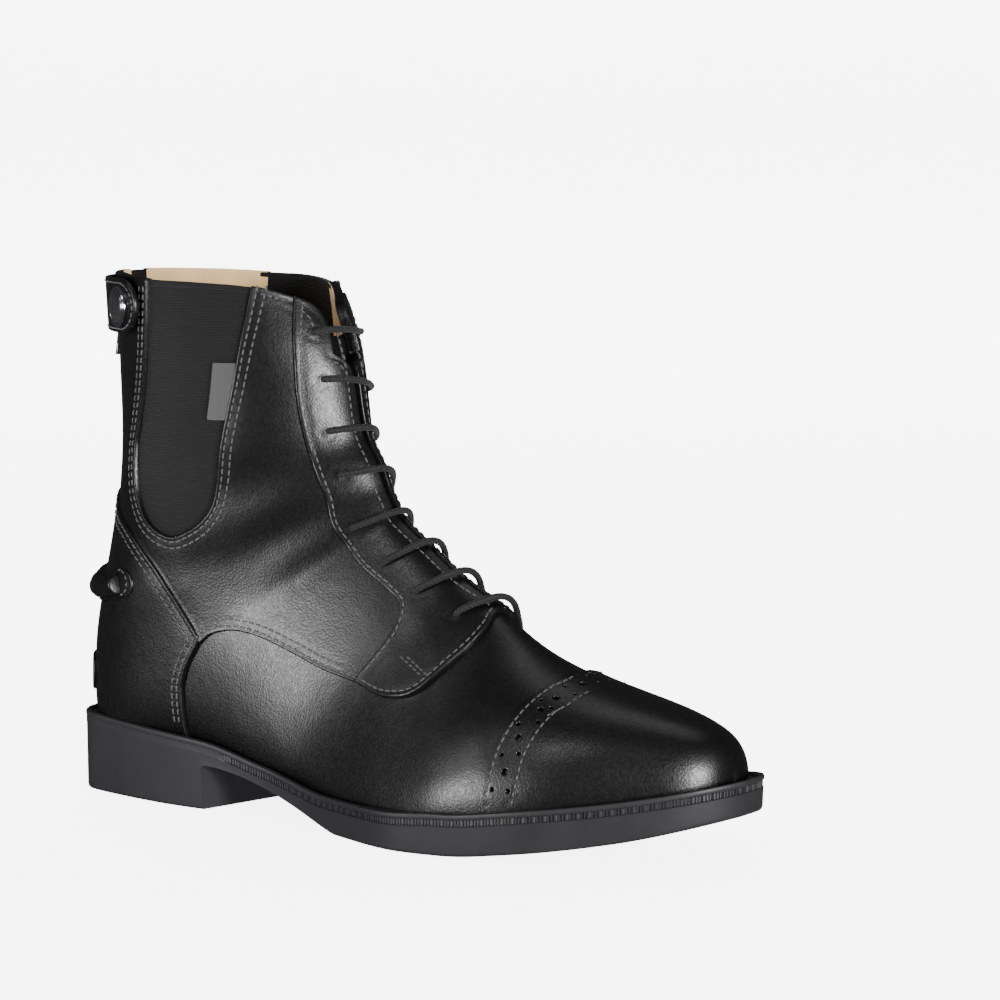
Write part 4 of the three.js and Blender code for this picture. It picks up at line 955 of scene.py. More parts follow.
def matt_white_sweep(colour):
    """Seamless translucent studio sweep, lit from below as well: plain, pale and matt."""
    material, _, shader, _ = surface("matt_white_sweep", colour, 0.9, specular=0.1)
    shader.inputs["Emission Color"].default_value = tint("#ffffff")
    shader.inputs["Emission Strength"].default_value = 5.4
    return material


FINISHES = {}


def finish(name):
    """The materials, made once from the chosen colours."""
    if not FINISHES:
        s = bpy.context.scene.paddock_boot
        FINISHES.update(
            leather=smooth_black_leather(s.leather_colour),
            rubber=moulded_black_rubber(s.rubber_colour),
            lining=undyed_lining_leather(s.lining_colour),
            elastic=ribbed_elastic(s.elastic_colour),
            seam=grey_waxed_thread(s.seam_colour),
            cord=braided_cord(s.lace_colour),
            label=woven_label(s.label_colour),
            enamel=black_enamel("#161416"),
            chrome=polished_chrome("#d4d6d9"),
            zip=nylon_zip("#131314"),
            floor=matt_white_sweep("#f4f4f4"),
        )
    return FINISHES[name]


# Pieces

def leather_piece(name, region, top, bottom, node=None, inner=None, **shape):
    """A panel of black leather, with another material inside where inner names one."""
    vertices, triangles, inner_from = panel(region, top, bottom, **shape)
    materials = [finish("leather")] + ([inner] if inner else [])
    thing = put(name, vertices, triangles, materials, inner_from=inner_from if inner else None)
    if node:
        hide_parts(node)
    return thing


def open_front(v):
    """Distance in from the collar and the throat, round at the corner between them."""
    down, aside = below_collar(v), off_throat(v)
    return CORNER - np.hypot(np.maximum(CORNER - down, 0), np.maximum(CORNER - aside, 0))


def build_upper(s):
    def everywhere(v):
        return least(open_front(v), below_collar(v), off_gore(v), off_zip(v), off_throat(v),
                     above_bed(v))

    leather_piece("upper_wall", everywhere, 0.0, -WALL, node="upper", inner=finish("lining"),
                  rim=0.4, coarse=True)

    def quarters(v):
        return least(inside(QUARTER_AREA, v[:, 0], v[:, 2]), below_collar(v), off_gore(v),
                     off_zip(v), off_throat(v), open_front(v))

    leather_piece("upper_quarters", quarters, s.quarter_step, -0.4, rim=0.55,
                  dips=((1.8, 0.14, 0.7), (4.2, 0.1, 0.7)))


# The cap's punching: rows in from the seam, distance between holes, and radii of the holes.
HOLE_ROWS = (3.4, 6.4, 9.2)
HOLE_PITCH = 6.4
LARGE_HOLE, SMALL_HOLE = 1.05, 0.6


def build_cap(s):
    def seam(v):
        return inside(CAP_AREA, v[:, 0], v[:, 2])

    def region(v):
        return least(seam(v), above_bed(v))

    holes = []
    edge = cap_points[cap_points[:, 1] > 20]
    for side in (-1, 1):
        rows = {}
        for aside in HOLE_ROWS:
            points = sample(locate(beside(edge, -aside), side))[0]
            rows[aside] = points, run_along(points)
        near, middle, far = HOLE_ROWS
        total = rows[middle][1][-1]
        for k in range(int(total // HOLE_PITCH) + 1):
            punched = ((near, SMALL_HOLE), (far, SMALL_HOLE)) if k % 2 else ((middle, LARGE_HOLE),)
            for aside, radius in punched:
                points, run = rows[aside]
                place = (total - HOLE_PITCH * k) / total * run[-1]
                if place > 3:
                    holes.append((np.array([np.interp(place, run, points[:, a]) for a in range(3)]),
                                  radius))
    leather_piece("toe_cap_leather", region, s.cap_step, -0.3, node="toe_cap", rim=0.5,
                  dips=((1.5, 0.1, 0.6), (11.3, 0.1, 0.6)), seam=seam, holes=holes)
    rows = side_rows(edge, s.cap_step - 0.05, offsets=(-1.5, -11.3), low=16)
    sew("toe_cap_stitches", rows, finish("seam"), s.stitch_pitch)


def build_counter(s):
    def seam(v):
        return inside(COUNTER_AREA, v[:, 0], v[:, 2]) + 0.3

    def region(v):
        return least(seam(v), above_bed(v))

    leather_piece("heel_counter_leather", region, s.counter_step, -0.3, node="heel_counter",
                  rim=0.6, dips=((1.9, 0.16, 0.7), (4.4, 0.12, 0.7)), seam=seam)
    rows = side_rows(counter_top, s.counter_step - 0.05, offsets=(-1.6, -4.1), right=31.8)
    rows += side_rows(counter_front, s.counter_step - 0.05, offsets=(-1.6, -3.9), low=29)
    sew("heel_counter_stitches", rows, finish("seam"), s.stitch_pitch)


def eyelet_places(side):
    """Grid places of one side's eyelets, from the top down."""
    return at_front(LACE_BARS[:, 0 if side < 0 else 1], EYELET_ASIDE, side)


def front_edge(inset, side):
    """Grid places along a facing's edge, up the throat, round the corner and along the collar."""
    turns = np.linspace(0, math.pi / 2, 14)
    reach = CORNER - inset
    bend = np.stack([CORNER - reach * np.sin(turns), CORNER - reach * np.cos(turns)], 1)
    level = np.stack([np.full(30, inset), np.linspace(CORNER + 0.7, 34, 30)], 1)
    places = list(at_front(np.arange(9.9, 21.3, 0.12), inset + THROAT_HALF, side))
    rows = np.linspace(19.5, 23, 60)
    for down, aside in np.vstack([bend, level]):
        column = at_front(rows, aside + THROAT_HALF, side)
        heights = below_collar(sample(column)[0])
        k = np.interp(-down, -heights, np.arange(len(rows)))
        i = int(min(k, len(rows) - 2))
        place = column[i] + (column[i + 1] - column[i]) * (k - i)
        if sample([place])[0][0][0] > facing_points[4][0] + 2:
            places.append(place)
    return np.array(places)


def build_facings(s):
    top = s.quarter_step + s.facing_step
    for name, side in (("facing_outer", -1), ("facing_inner", 1)):
        def region(v, side=side):
            return least(inside(FACING_AREA, v[:, 0], v[:, 2]), below_collar(v), off_throat(v),
                         open_front(v), side * v[:, 1])

        holes = [(point, EYELET_RADIUS) for point in sample(eyelet_places(side), top)[0]]
        leather_piece(name + "_leather", region, top, -WALL - 0.1, node=name, rim=0.6, under=0.4,
                      dips=((1.9, 0.14, 0.7),), holes=holes)
    rows = side_rows(facing_points, top - 0.05, offsets=(1.7,), low=56, high=190)
    front = hem_points[hem_points[:, 0] > facing_points[-1][0] + 2]
    rows += side_rows(front, top - 0.05, offsets=(1.9,), high=84)
    rows += [sample(front_edge(3.0, side), top - 0.05) for side in (-1, 1)]
    sew("facing_stitches", rows, finish("seam"), s.stitch_pitch)
    bars = []
    for line in ([(121.5, 63.6), (133.4, 58.2)], [(124.5, 63.8), (136.4, 58.4)]):
        bars += side_rows(rounded(np.array(line, float), 12), top - 0.05)
    sew("facing_bar_stitches", bars, finish("seam"), 2.4, 2.0)


def build_gores(s):
    for name, side in (("gore_outer", -1), ("gore_inner", 1)):
        def region(v, side=side):
            return least(3.5 - off_gore(v), below_collar(v) - 0.4, side * v[:, 1])

        vertices, triangles, _ = panel(region, -0.5, -1.9, rim=0.3)
        thing = put(name + "_elastic", vertices, triangles, [finish("elastic")])
        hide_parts(name)
    rows = side_rows(gore_points, s.quarter_step - 0.05, offsets=(-1.7, -4.1), high=197)
    sew("gore_stitches", rows, finish("seam"), s.stitch_pitch)
    for side in (-1, 1):
        def hem(v, side=side):
            down = below_collar(v)
            return least(3.5 - off_gore(v), down - 0.3, 2.4 - down, side * v[:, 1])

        vertices, triangles, _ = panel(hem, -0.15, -2.1, rim=0.4, under=0.4)
        thing = put(f"gore_hem_{'outer' if side < 0 else 'inner'}", vertices, triangles,
                    [finish("elastic")])
    high = gore_points[-1][0]
    rows = side_rows(collar_points, s.quarter_step - 0.05, offsets=(-2.2,), left=high + 1.5,
                     right=facing_points[4][0] - 0.5)
    sew("collar_stitches", rows, finish("seam"), 2.4, 1.9)


def build_label(s):
    x, z = side_points([LABEL_PLACE])[0]
    area = np.array([(x + (a * LABEL_WIDTH + b * LABEL_LEAN) / 2, z + b * LABEL_HEIGHT / 2)
                     for a, b in ((-1, -1), (1, -1), (1, 1), (-1, 1))])

    def region(v):
        return least(inside(area, v[:, 0], v[:, 2]), -off_gore(v) + 0.6, -v[:, 1])

    vertices, triangles, _ = panel(region, 0.75, 0.1, rim=0.15)
    thing = put("gore_label_ribbon", vertices, triangles, [finish("label")])
    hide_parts("gore_label")


def build_tongue(s):
    top_edge = side_points(COLLAR[-2:])[0][1] - 1

    def region(v):
        return least(inside(TONGUE_AREA, v[:, 0], v[:, 2]), 21 - np.abs(v[:, 1]),
                     top_edge - v[:, 2])

    leather_piece("tongue_leather", region, -WALL - 0.4, -WALL - 2.2, node="tongue",
                  inner=finish("lining"), rim=0.5, under=0.5, coarse=True)


def build_insole(s):
    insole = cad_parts["insole"]
    insole.data.materials.clear()
    insole.data.materials.append(finish("lining"))


def build_laces(s):
    top = s.quarter_step + s.facing_step
    radius = s.lace_width / 2
    outers, inners = eyelet_places(-1), eyelet_places(1)
    for number, (outer, inner) in enumerate(zip(outers, inners - [0, SIDES])):
        shares = np.concatenate([[0, 0, 0, 0.015, 0.05], np.linspace(0.1, 0.9, 17),
                                 [0.95, 0.985, 1, 1, 1]])
        lifts = np.concatenate([[-3.2, -1.5, 0.2, top + 0.35, top + radius * 0.75],
                                np.full(17, top + radius * 1.02),
                                [top + radius * 0.75, top + 0.35, 0.2, -1.5, -3.2]])
        middle = np.clip((shares - 0.1) / 0.8, 0, 1)
        over = (shares > 0.05) * (shares < 0.95)
        lifts += LACE_BARS[number, 2] * np.sin(math.pi * middle) ** 2 * over
        sag = 0.35 * np.sin(2 * math.pi * shares + number)
        places = outer + (inner - outer) * shares[:, None]
        points, outs = sample(places, lifts)
        along = sample(places + [0.8, 0], lifts)[0] - points
        along /= np.linalg.norm(along, axis=1)[:, None]
        points = rounded(points + along * sag[:, None], 3)
        vertices, faces, uvs = tube(points, radius, 14)
        thing = put(f"lace_{number + 1}", vertices, faces, [finish("cord")], uvs=uvs)
        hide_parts(f"lace_bar_{number + 1}")


def build_zip(s):
    bottom = bed_height(0) + ZIP_BOTTOM * SHAFT

    def tape(v):
        return least(4.9 - np.abs(v[:, 1]), 20 - v[:, 0], v[:, 2] - bottom - 0.3,
                     below_collar(v) - 0.5)

    vertices, triangles, _ = panel(tape, -1.25, -2.1, rim=0.15, coarse=True)
    thing = put("zip_tape", vertices, triangles, [finish("elastic")])
    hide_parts("zip")
    parts = []
    for k, height in enumerate(np.arange(bottom + 1.5, 198.5, 1.15)):
        side = -1 if k % 2 else 1
        back = sample([(back_ring(height), SIDES / 2)], -0.95)[0][0, 0]
        y = np.array([-0.4, -0.2, 0.6, 1.5, 2.2, 2.45]) * side
        x = np.array([0.3, 0, -0.05, 0, 0.2, 0.7])
        path = np.stack([back + x, y, np.full(len(x), height)], 1)
        vertices, faces, _ = tube(rounded(path, 2), 0.42, 6)
        parts.append((vertices, faces))
    vertices, faces = join(parts)
    coil = put("zip_coil", vertices, faces, [finish("zip")])


def dress_hardware(name):
    """Rounds the edges of a small hard CAD piece and gives it its finish."""
    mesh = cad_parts[name].data.copy()
    thing = in_scene(name + "_dressed", mesh)
    mesh.materials.clear()
    mesh.materials.append(finish("enamel"))
    weld = thing.modifiers.new("weld", "WELD")
    weld.merge_threshold = 0.01 * MM
    edge = thing.modifiers.new("bevel", "BEVEL")
    edge.width = 0.3 * MM
    edge.segments = 2
    edge.limit_method = "ANGLE"
    edge.angle_limit = math.radians(35)
    mesh.shade_smooth()
    mesh.set_sharp_from_angle(angle=math.radians(50))
    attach(thing, "zip_pull" if name == "zip_pull" else "boot")
    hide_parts(name)


def build_slider(s):
    dress_hardware("zip_slider")
    dress_hardware("zip_pull")


# The strap's top above the form, its thickness and width, and its drop below the collar.
STRAP_TOP, STRAP_THICK, STRAP_WIDTH, STRAP_BELOW = 5.2, 2.2, 20.5, 2.8
# Shares of the length where its round outer end and its square inner end stop.
STRAP_OUTER_END, STRAP_INNER_END = 0.169, 0.146
STRAP_SEAM = 1.65


def build_strap(s):
    half = STRAP_WIDTH / 2
    high = side_points(COLLAR[:1])[0][1] - STRAP_BELOW
    low = high - STRAP_WIDTH
    end = STRAP_OUTER_END * LENGTH - TO_ORIGIN - half
    middle = (low + high) / 2

    def region(v):
        x, y, z = v[:, 0], v[:, 1], v[:, 2]
        band = half - np.abs(z - middle)
        round_end = np.where(x > end, half - np.hypot(x - end, z - middle), band)
        square_end = np.minimum(band, STRAP_INNER_END * LENGTH - TO_ORIGIN - x)
        return np.where(y < 0, round_end, square_end)

    def outer(v):
        drop = np.where(v[:, 1] > 0, np.clip((v[:, 0] + 4) / 10, 0, 1), 0)
        return STRAP_TOP - STRAP_THICK * drop ** 2 * (3 - 2 * drop)

    leather_piece("snap_strap_leather", region, outer, lambda v: outer(v) - STRAP_THICK,
                  node="snap_strap", rim=0.7, under=0.6, dips=((1.8, 0.16, 0.6),))
    turns = np.linspace(-math.pi / 2, math.pi / 2, 30)
    reach = half - STRAP_SEAM
    tip = np.stack([end + reach * np.cos(turns), middle + reach * np.sin(turns)], 1)
    back = np.linspace(-18, end - 0.3, 30)
    line = np.vstack([np.stack([back, np.full(30, low + STRAP_SEAM)], 1), tip,
                      np.stack([back[::-1], np.full(30, high - STRAP_SEAM)], 1)])
    rows = [sample(locate(line, -1), STRAP_TOP - 0.05)]
    sew("snap_strap_stitches", rows, finish("seam"), 2.6, 2.0, 0.3)
    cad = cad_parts["snap_ring"].data
    centre = np.array([vertex.co for vertex in cad.vertices]).mean(0) / MM
    way = sample([turned_place(*SNAP_PLACE)])[1][0]
    way[2] = 0
    way /= np.linalg.norm(way)
    base = centre - way * 0.7
    ring = turned([(6.4, -0.6), (7.5, -0.6), (7.65, 0.1), (7.45, 0.6), (7.1, 0.85), (6.8, 0.8),
                   (6.5, 0.5), (6.4, 0.1), (6.4, -0.6)], 64)
    thing = put("snap_ring_chrome", stood(ring[0], base, way, 0), ring[1], [finish("chrome")])
    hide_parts("snap_ring")
    dome = turned([(0, -0.6), (6.45, -0.6), (6.45, 0.3), (6.1, 0.75), (5.2, 1.3), (4.0, 1.75),
                   (2.6, 2.05), (1.2, 2.2), (0, 2.24)], 48)
    thing = put("snap_cap_dome", stood(dome[0], base, way, 0), dome[1], [finish("enamel")])
    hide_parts("snap_cap")


# The roll's radius and its taper at the ends, the lift of its middle and the patch's half width.
SPUR_RADIUS, SPUR_TAPER = 4.0, [3.1, 3.6, 3.9]
SPUR_LIFT, SPUR_PATCH = 3.6, 5.6


def spur_path(lift, reach=1.0, steps=41):
    """Points and ways out along the spur rest, from end to end round the back."""
    share = np.linspace(-reach, reach, steps)
    turn = 180 + share * (180 - SPUR_TURN)
    row = SPUR_ROWS[1] + (SPUR_ROWS[0] - SPUR_ROWS[1]) * np.abs(share)
    return sample([turned_place(*place) for place in zip(row, turn)], lift)


def build_spur_rest(s):
    path = spur_path(SPUR_LIFT)[0]
    head = path[0] - path[1]
    tail = path[-1] - path[-2]
    head, tail = head / np.linalg.norm(head), tail / np.linalg.norm(tail)
    cap_steps = np.array([0.45, 0.8, 1.0])
    points = np.vstack([path[0] + head * cap_steps[::-1][:, None] * 0.9, path,
                        path[-1] + tail * cap_steps[:, None] * 0.9])
    radii = np.concatenate([SPUR_TAPER, np.full(len(path), SPUR_RADIUS), SPUR_TAPER[::-1]])
    vertices, faces, uvs = tube(points, radii, 28)
    thing = put("spur_rest_roll", vertices, faces, [finish("leather")], uvs=uvs, corner=50)
    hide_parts("spur_rest")
    centres = spur_path(2.1, 1.06, 61)[0]

    def region(v):
        near = np.full(len(v), 1e9)
        for centre in centres:
            near = np.minimum(near, np.linalg.norm(v[:, :3] - centre, axis=1))
        return np.where(v[:, 0] < 20, SPUR_PATCH - near, -9)

    leather_piece("spur_rest_patch", region, s.counter_step + 0.9, s.counter_step - 0.3, rim=0.5,
                  dips=((1.6, 0.1, 0.6),))
    rows = []
    for side in (-1, 1):
        ring = []
        turn = 180 + side * 1.02 * (180 - SPUR_TURN)
        centre, out = sample([turned_place(SPUR_ROWS[0], turn)], s.counter_step + 0.85)
        along = spur_path(2.1)[0]
        ahead = (along[-1] - along[-3]) if side > 0 else (along[0] - along[2])
        ahead /= np.linalg.norm(ahead)
        up = np.cross(out[0], ahead)
        for a in np.linspace(-1.75, 1.75, 26):
            ring.append(centre[0] + 4.6 * (math.cos(a) * ahead + math.sin(a) * up))
        ring = np.array(ring)
        flat = locate(ring[:, [0, 2]], -1 if ring[0][1] < 0 else 1)
        rows.append(sample(flat, s.counter_step + 0.85))
    sew("spur_rest_stitches", rows, finish("seam"), 2.5, 1.9, 0.3)


# The heel tab's half width, half height and corner radius, and its rise above the bed.
TAB_ACROSS, TAB_UP, TAB_CORNER, TAB_RISE = 21, 7.5, 6, 8


def build_heel_tab(s):
    middle = bed_height(0) + TAB_RISE + TAB_UP

    def region(v):
        across = np.abs(v[:, 1]) - TAB_ACROSS + TAB_CORNER
        up = np.abs(v[:, 2] - middle) - TAB_UP + TAB_CORNER
        corner = np.hypot(np.maximum(across, 0), np.maximum(up, 0))
        return np.where(v[:, 0] < 10, TAB_CORNER - corner, -9)

    leather_piece("heel_tab_leather", region, s.counter_step + 1.2, s.counter_step - 0.3,
                  node="heel_tab", rim=0.6)


# Sole

def sole_loop(step=0.3):
    """Points round the sole's rim as (x from the heel's back, y), evenly spaced, and their runs."""
    stations = np.linspace(0, len(SOLE_OUTLINE) - 1, 900)
    table = spline(SOLE_OUTLINE, stations)
    outer = np.stack([table[:, 0] * LENGTH, -table[:, 1] * BALL], 1)
    inner = np.stack([table[:, 0] * LENGTH, table[:, 2] * BALL], 1)[::-1]
    loop = np.vstack([outer, inner])
    loop[:, 0] = np.clip(loop[:, 0], 0, LENGTH)
    loop = np.vstack([loop, loop[:1]])
    run = run_along(loop)
    want = np.arange(0, run[-1], step)
    return np.stack([np.interp(want, run, loop[:, 0]), np.interp(want, run, loop[:, 1])], 1), want


# Where the band's notches begin, from the heel's back, and how soon they are at full depth.
NOTCH_START, NOTCH_FADE = 78, 6


def build_sole(s):
    loop, run = sole_loop()
    for _ in range(2):
        loop = sum(w * np.roll(loop, k, 0) for w, k in zip(np.full(9, 1 / 9), range(-4, 5)))
    along = np.roll(loop, -2, 0) - np.roll(loop, 2, 0)
    along /= np.linalg.norm(along, axis=1)[:, None]
    inward = np.stack([-along[:, 1], along[:, 0]], 1)
    notch = 0.5 + 0.5 * np.cos(run * 2 * math.pi / s.notch_pitch)
    notch = np.clip((notch - 0.5) * 3 + 0.5, 0, 1)
    fade = np.clip((loop[:, 0] - NOTCH_START) / NOTCH_FADE, 0, 1)
    groove = 0.22 + fade * (0.28 + 0.5 * notch)
    flat = np.full(len(loop), 1.0)
    profile = [
        ("tread", flat * 1.9, 0.0), ("tread", flat * 1.15, 0.15), ("tread", flat * 0.7, 0.7),
        ("tread", flat * 0.5, 1.6), ("rim", flat * 0.3, -5.2), ("rim", flat * 0.22, -4.7),
        ("rim", 0.22 + 0.2 * fade, -4.45), ("rim", groove, -4.3), ("rim", groove, -2.35),
        ("rim", 0.2 + 0.35 * fade, -2.2), ("rim", flat * 0.12, -1.95), ("rim", flat * 0.0, -1.55),
        ("rim", flat * 0.0, -0.9), ("rim", flat * 0.14, -0.4), ("rim", flat * 0.5, -0.08),
        ("rim", flat * 0.95, 0.0), ("rim", flat * 1.6, -0.05), ("rim", flat * 2.1, -0.4),
        ("rim", flat * 2.5, -1.2),
    ]
    rings = []
    for base, inset, up in profile:
        place = loop + inward * inset[:, None]
        at = np.clip(place[:, 0] / LENGTH, 0, 1)
        height = (rim_height(at) if base == "rim" else tread_height(at)) + up
        rings.append(np.stack([place[:, 0] - TO_ORIGIN, place[:, 1], height], 1))
    n = len(loop)
    faces = []
    for r in range(len(rings) - 1):
        a = np.arange(n)
        b = (a + 1) % n
        faces += np.stack([r * n + a, r * n + b, (r + 1) * n + b, (r + 1) * n + a], 1).tolist()
    vertices = np.concatenate(rings)
    faces += [list(range(n))[::-1], list(range((len(rings) - 1) * n, len(rings) * n))]
    body = bpy.data.meshes.new("sole_body")
    body.from_pydata((vertices * MM).tolist(), [], faces)
    thing = in_scene("sole_rubber", body)
    cutters = [waist_cutter()] + tread_cutters()
    for cutter in cutters:
        mark = thing.modifiers.new("cut", "BOOLEAN")
        mark.object = cutter
        mark.operation = "DIFFERENCE"
        mark.solver = "EXACT"
    bpy.context.view_layer.update()
    cut = thing.evaluated_get(bpy.context.evaluated_depsgraph_get())
    baked = bpy.data.meshes.new_from_object(cut)
    thing.modifiers.clear()
    thing.data = baked
    for cutter in cutters:
        bpy.data.objects.remove(cutter)
    baked.shade_smooth()
    baked.set_sharp_from_angle(angle=math.radians(32))
    baked.materials.clear()
    baked.materials.append(finish("rubber"))
    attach(thing, "boot")
    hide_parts("sole")


def prism(name, outline, low, high, shear=0.0):
    """A side-view outline as a solid from y = low to y = high, leaning along x by shear per y."""
    n = len(outline)
    vertices = [((x + shear * y) * MM, y * MM, z * MM) for y in (low, high) for x, z in outline]
    faces = [[k, (k + 1) % n, n + (k + 1) % n, n + k] for k in range(n)]
    faces += [list(range(n))[::-1], list(range(n, 2 * n))]
    mesh = bpy.data.meshes.new(name)
    mesh.from_pydata(vertices, [], faces)
    mesh.validate()
    return in_scene(name, mesh)


# The tread's grooves: their depth, the fore ones' pitch, and the plain ground at ends and sides.
GROOVE_DEPTH, TREAD_PITCH, TREAD_START, TREAD_BORDER = 1.5, 11.0, 24.2, 9


def waist_cutter():
    """What is cut away under the waist, between the heel's breast and the tread."""
    start = HEEL_TREAD - TO_ORIGIN
    arch = np.array([(0, 0.93), (0.03, 1), (0.2, 0.9), (0.42, 0.66), (0.65, 0.385), (0.84, 0.16),
                     (1, 0)])
    curve = rounded(np.stack([start + arch[:, 0] * WAIST_SPAN, arch[:, 1] * BREAST_HEIGHT], 1), 5)
    lean = BREAST_SKEW * BALL * steady(SOLE_OUTLINE, 1, HEEL_TREAD / LENGTH)
    outline = [(start + lean, -EDGE_DEPTH)] + [(x + lean, z) for x, z in curve]
    outline.append((start + lean + WAIST_SPAN + 6, -EDGE_DEPTH))
    return prism("waist_cutter", outline, -BALL, BALL, BREAST_SKEW)


def groove(x, half, top):
    """A groove's section at a distance from the heel's back, narrower at its top."""
    middle = x - TO_ORIGIN
    return [(middle - 1.5, -2), (middle + 1.5, -2), (middle + half, top), (middle - half, top)]


def tread_cutters():
    """Grooves across the fore tread, and short ones in from the heel's sides."""
    cutters = []
    for x in np.arange(HEEL_TREAD + WAIST_SPAN + TREAD_START, LENGTH - TREAD_START, TREAD_PITCH):
        at = x / LENGTH
        top = max(float(tread_height(at - 3 / LENGTH)), 0) + GROOVE_DEPTH
        cutters.append(prism("tread_cutter", groove(x, 1.1, top),
                             TREAD_BORDER - BALL * float(steady(SOLE_OUTLINE, 1, at)),
                             BALL * float(steady(SOLE_OUTLINE, 2, at)) - TREAD_BORDER))
    for share in (0.26, 0.5, 0.74):
        x = share * HEEL_TREAD
        for side, column in ((-1, 1), (1, 2)):
            edge = BALL * float(steady(SOLE_OUTLINE, column, x / LENGTH))
            low, high = sorted((side * (edge - 12), side * (edge + 8)))
            cutters.append(prism("heel_cutter", groove(x, 1.2, GROOVE_DEPTH), low, high))
    return cutters


def build_hem_stitches(s):
    lift = s.quarter_step - 0.05
    line = hem_points[hem_points[:, 0] < facing_points[-1][0] + 26]
    sew("hem_stitches", side_rows(line, lift, offsets=(1.7, 4.1), right=134), finish("seam"),
        s.stitch_pitch)


# Stage

# The camera's place in metres, its turn and dip in degrees and its lens in millimetres.
CAMERA_PLACE = (0.86233, -1.04678, 0.26189)
CAMERA_TURN, CAMERA_DIP, CAMERA_LENS = 34.3, 6.35, 127.3
# The sweep from the side, in metres: level under the boot, then bent up behind it.
SWEEP = ((-3.0, 0.0), (2.2, 0.0), (2.6, 0.06), (2.95, 0.25), (3.1, 0.6), (3.1, 4.0))
SWEEP_HALF = 6.0
# Columns: name, place, size, power. The side and front lamps draw the long highlights.
LAMPS = (
    ("side", (-0.62, -1.75, 0.24), (0.3, 0.46), 40),
    ("key", (-0.8, -1.3, 1.0), (0.34, 0.3), 4),
    ("toe", (0.17, -1.31, 1.46), (0.3, 0.24), 6),
    ("front", (1.9, -0.66, 0.3), (0.3, 0.6), 84),
    ("top", (0.1, 0.7, 2.4), (1.4, 0.8), 7),
)


def build_stage(s):
    floor = bpy.data.meshes.new("floor")
    depth = [(x, y, z) for y, z in SWEEP for x in (-SWEEP_HALF, SWEEP_HALF)]
    faces = [[2 * k, 2 * k + 1, 2 * k + 3, 2 * k + 2] for k in range(len(SWEEP) - 1)]
    turn = math.radians(CAMERA_TURN)
    spun = [(x * math.cos(turn) - y * math.sin(turn), x * math.sin(turn) + y * math.cos(turn), z)
            for x, y, z in depth]
    floor.from_pydata(spun, [], faces)
    floor.shade_smooth()
    floor.materials.append(finish("floor"))
    thing = in_scene("studio_floor", floor)
    thing.visible_glossy = False
    world = bpy.data.worlds.new("studio")
    bpy.context.scene.world = world
    world.use_nodes = True
    world.node_tree.nodes["Background"].inputs["Color"].default_value = (1, 1, 1, 1)
    world.node_tree.nodes["Background"].inputs["Strength"].default_value = s.room_light
    target = Vector((0.09, 0.0, 0.09))
    for name, place, size, power in LAMPS:
        lamp = bpy.data.lights.new(name, "AREA")
        lamp.shape = "RECTANGLE"
        lamp.size, lamp.size_y = size
        lamp.energy = power
        light = in_scene(name, lamp)
        light.location = place
        light.rotation_euler = (target - Vector(place)).to_track_quat("-Z", "Y").to_euler()
    lens = bpy.data.cameras.new("camera")
    lens.lens = CAMERA_LENS
    lens.sensor_width = 36
    lens.clip_end = 30
    camera = in_scene("camera", lens)
    camera.location = CAMERA_PLACE
    camera.rotation_euler = (math.radians(90 - CAMERA_DIP), 0, math.radians(CAMERA_TURN))
    bpy.context.scene.camera = camera


# Add-on

def colour(name, words, default):
    return StringProperty(name=name, description=words, default=default)


def length(name, words, default, low, high):
    return FloatProperty(name=name, description=words + ", in millimetres", default=default, min=low,
                         max=high)


class BootSettings(bpy.types.PropertyGroup):
    """Sizes and colours of the boot's dress."""
    quarter_step: length("Quarter step", "How far the quarters stand over the vamp", 1.3, 0.5, 2.5)
    facing_step: length("Facing step", "How far the facings stand over the quarters", 1.2, 0.5, 2.0)
    cap_step: length("Toe cap step", "How far the toe cap stands over the vamp", 1.5, 0.5, 2.5)
    counter_step: length("Counter step", "How far the heel counter stands out", 2.1, 0.5, 2.5)
    stitch_pitch: length("Stitch pitch", "From one stitch to the next", 3.0, 2.0, 5.0)
    lace_width: length("Lace width", "The lace's diameter", 2.5, 1.5, 4.0)
    notch_pitch: length("Notch pitch", "From one notch of the sole's band to the next", 1.3, 0.8, 3.0)
    room_light: FloatProperty(name="Room light", description="Strength of the even light of the room",
                              default=0.05, min=0.0, max=3.0)
    leather_colour: colour("Leather", "Colour of the upper's leather, sRGB hex", "#040404")
    rubber_colour: colour("Rubber", "Colour of the sole, sRGB hex", "#101012")
    lining_colour: colour("Lining", "Colour of the lining leather, sRGB hex", "#d2b280")
    elastic_colour: colour("Elastic", "Colour of the gores, sRGB hex", "#070708")
    seam_colour: colour("Seam thread", "Colour of the seams that show, sRGB hex", "#232325")
    lace_colour: colour("Lace", "Colour of the lace, sRGB hex", "#0a0a0a")
    label_colour: colour("Label", "Colour of the bare woven label, sRGB hex", "#1b1b1c")


def operator(idname, label, words, *builders):
    """An operator class that runs the builders of one piece or group."""
    def execute(self, context):
        for builder in builders:
            builder(context.scene.paddock_boot)
        return {"FINISHED"}

    name = "BOOT_OT_" + idname
    return type(name, (bpy.types.Operator,), {
        "bl_idname": "boot." + idname, "bl_label": label, "__doc__": words, "execute": execute})


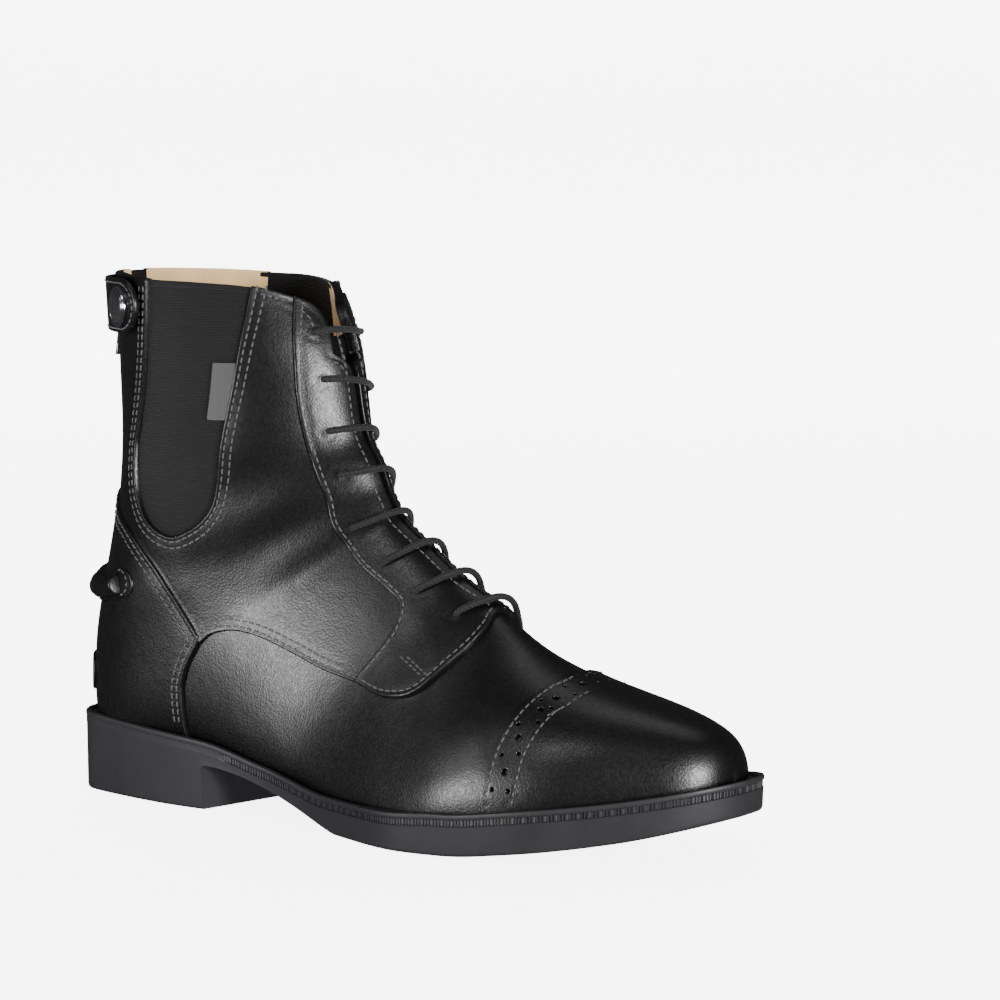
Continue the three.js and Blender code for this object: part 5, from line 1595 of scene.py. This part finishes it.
OPERATORS = [
    operator("sole", "Sole", "Moulds the rubber sole with its bead, notches and tread.", build_sole),
    operator("insole", "Insole", "Lines the bed with leather.", build_insole),
    operator("upper", "Upper", "Cuts and lines the vamp and the quarters.", build_upper),
    operator("hem", "Hem stitching", "Sews the quarters to the vamp.", build_hem_stitches),
    operator("cap", "Toe cap", "Cuts, punches and sews the toe cap.", build_cap),
    operator("counter", "Heel counter", "Cuts and sews the heel counter.", build_counter),
    operator("tongue", "Tongue", "Cuts the tongue.", build_tongue),
    operator("facings", "Facings", "Cuts, punches and sews both facings.", build_facings),
    operator("gores", "Gores", "Sets in the elastic gores.", build_gores),
    operator("label", "Label", "Sews the bare woven label on the outer gore.", build_label),
    operator("laces", "Laces", "Runs the lace through the eyelets.", build_laces),
    operator("zip", "Zip", "Lays the zip's coil and tape in the back slit.", build_zip),
    operator("slider", "Zip slider", "Finishes the slider and its pull tab.", build_slider),
    operator("strap", "Snap strap", "Cuts the strap and sets the snap.", build_strap),
    operator("spur", "Spur rest", "Rolls the spur rest and sews its patch.", build_spur_rest),
    operator("tab", "Heel tab", "Sets the low patch on the counter.", build_heel_tab),
    operator("stage", "Stage", "Sets floor, light and camera.", build_stage),
]


class BOOT_PT_pieces(bpy.types.Panel):
    """Lists the boot's pieces in the sidebar."""
    bl_idname = "BOOT_PT_pieces"
    bl_label = "Paddock boot"
    bl_space_type = "VIEW_3D"
    bl_region_type = "UI"
    bl_category = "Boot"

    def draw(self, context):
        for name in BootSettings.__annotations__:
            self.layout.prop(context.scene.paddock_boot, name)
        for kind in OPERATORS:
            self.layout.operator(kind.bl_idname)


CLASSES = [BootSettings] + OPERATORS + [BOOT_PT_pieces]


def register():
    for kind in CLASSES:
        bpy.utils.register_class(kind)
    bpy.types.Scene.paddock_boot = PointerProperty(type=BootSettings)


def unregister():
    del bpy.types.Scene.paddock_boot
    for kind in reversed(CLASSES):
        bpy.utils.unregister_class(kind)


def main():
    register()
    for kind in OPERATORS:
        group, name = kind.bl_idname.split(".")
        getattr(getattr(bpy.ops, group), name)()


if __name__ == "__main__":
    main()
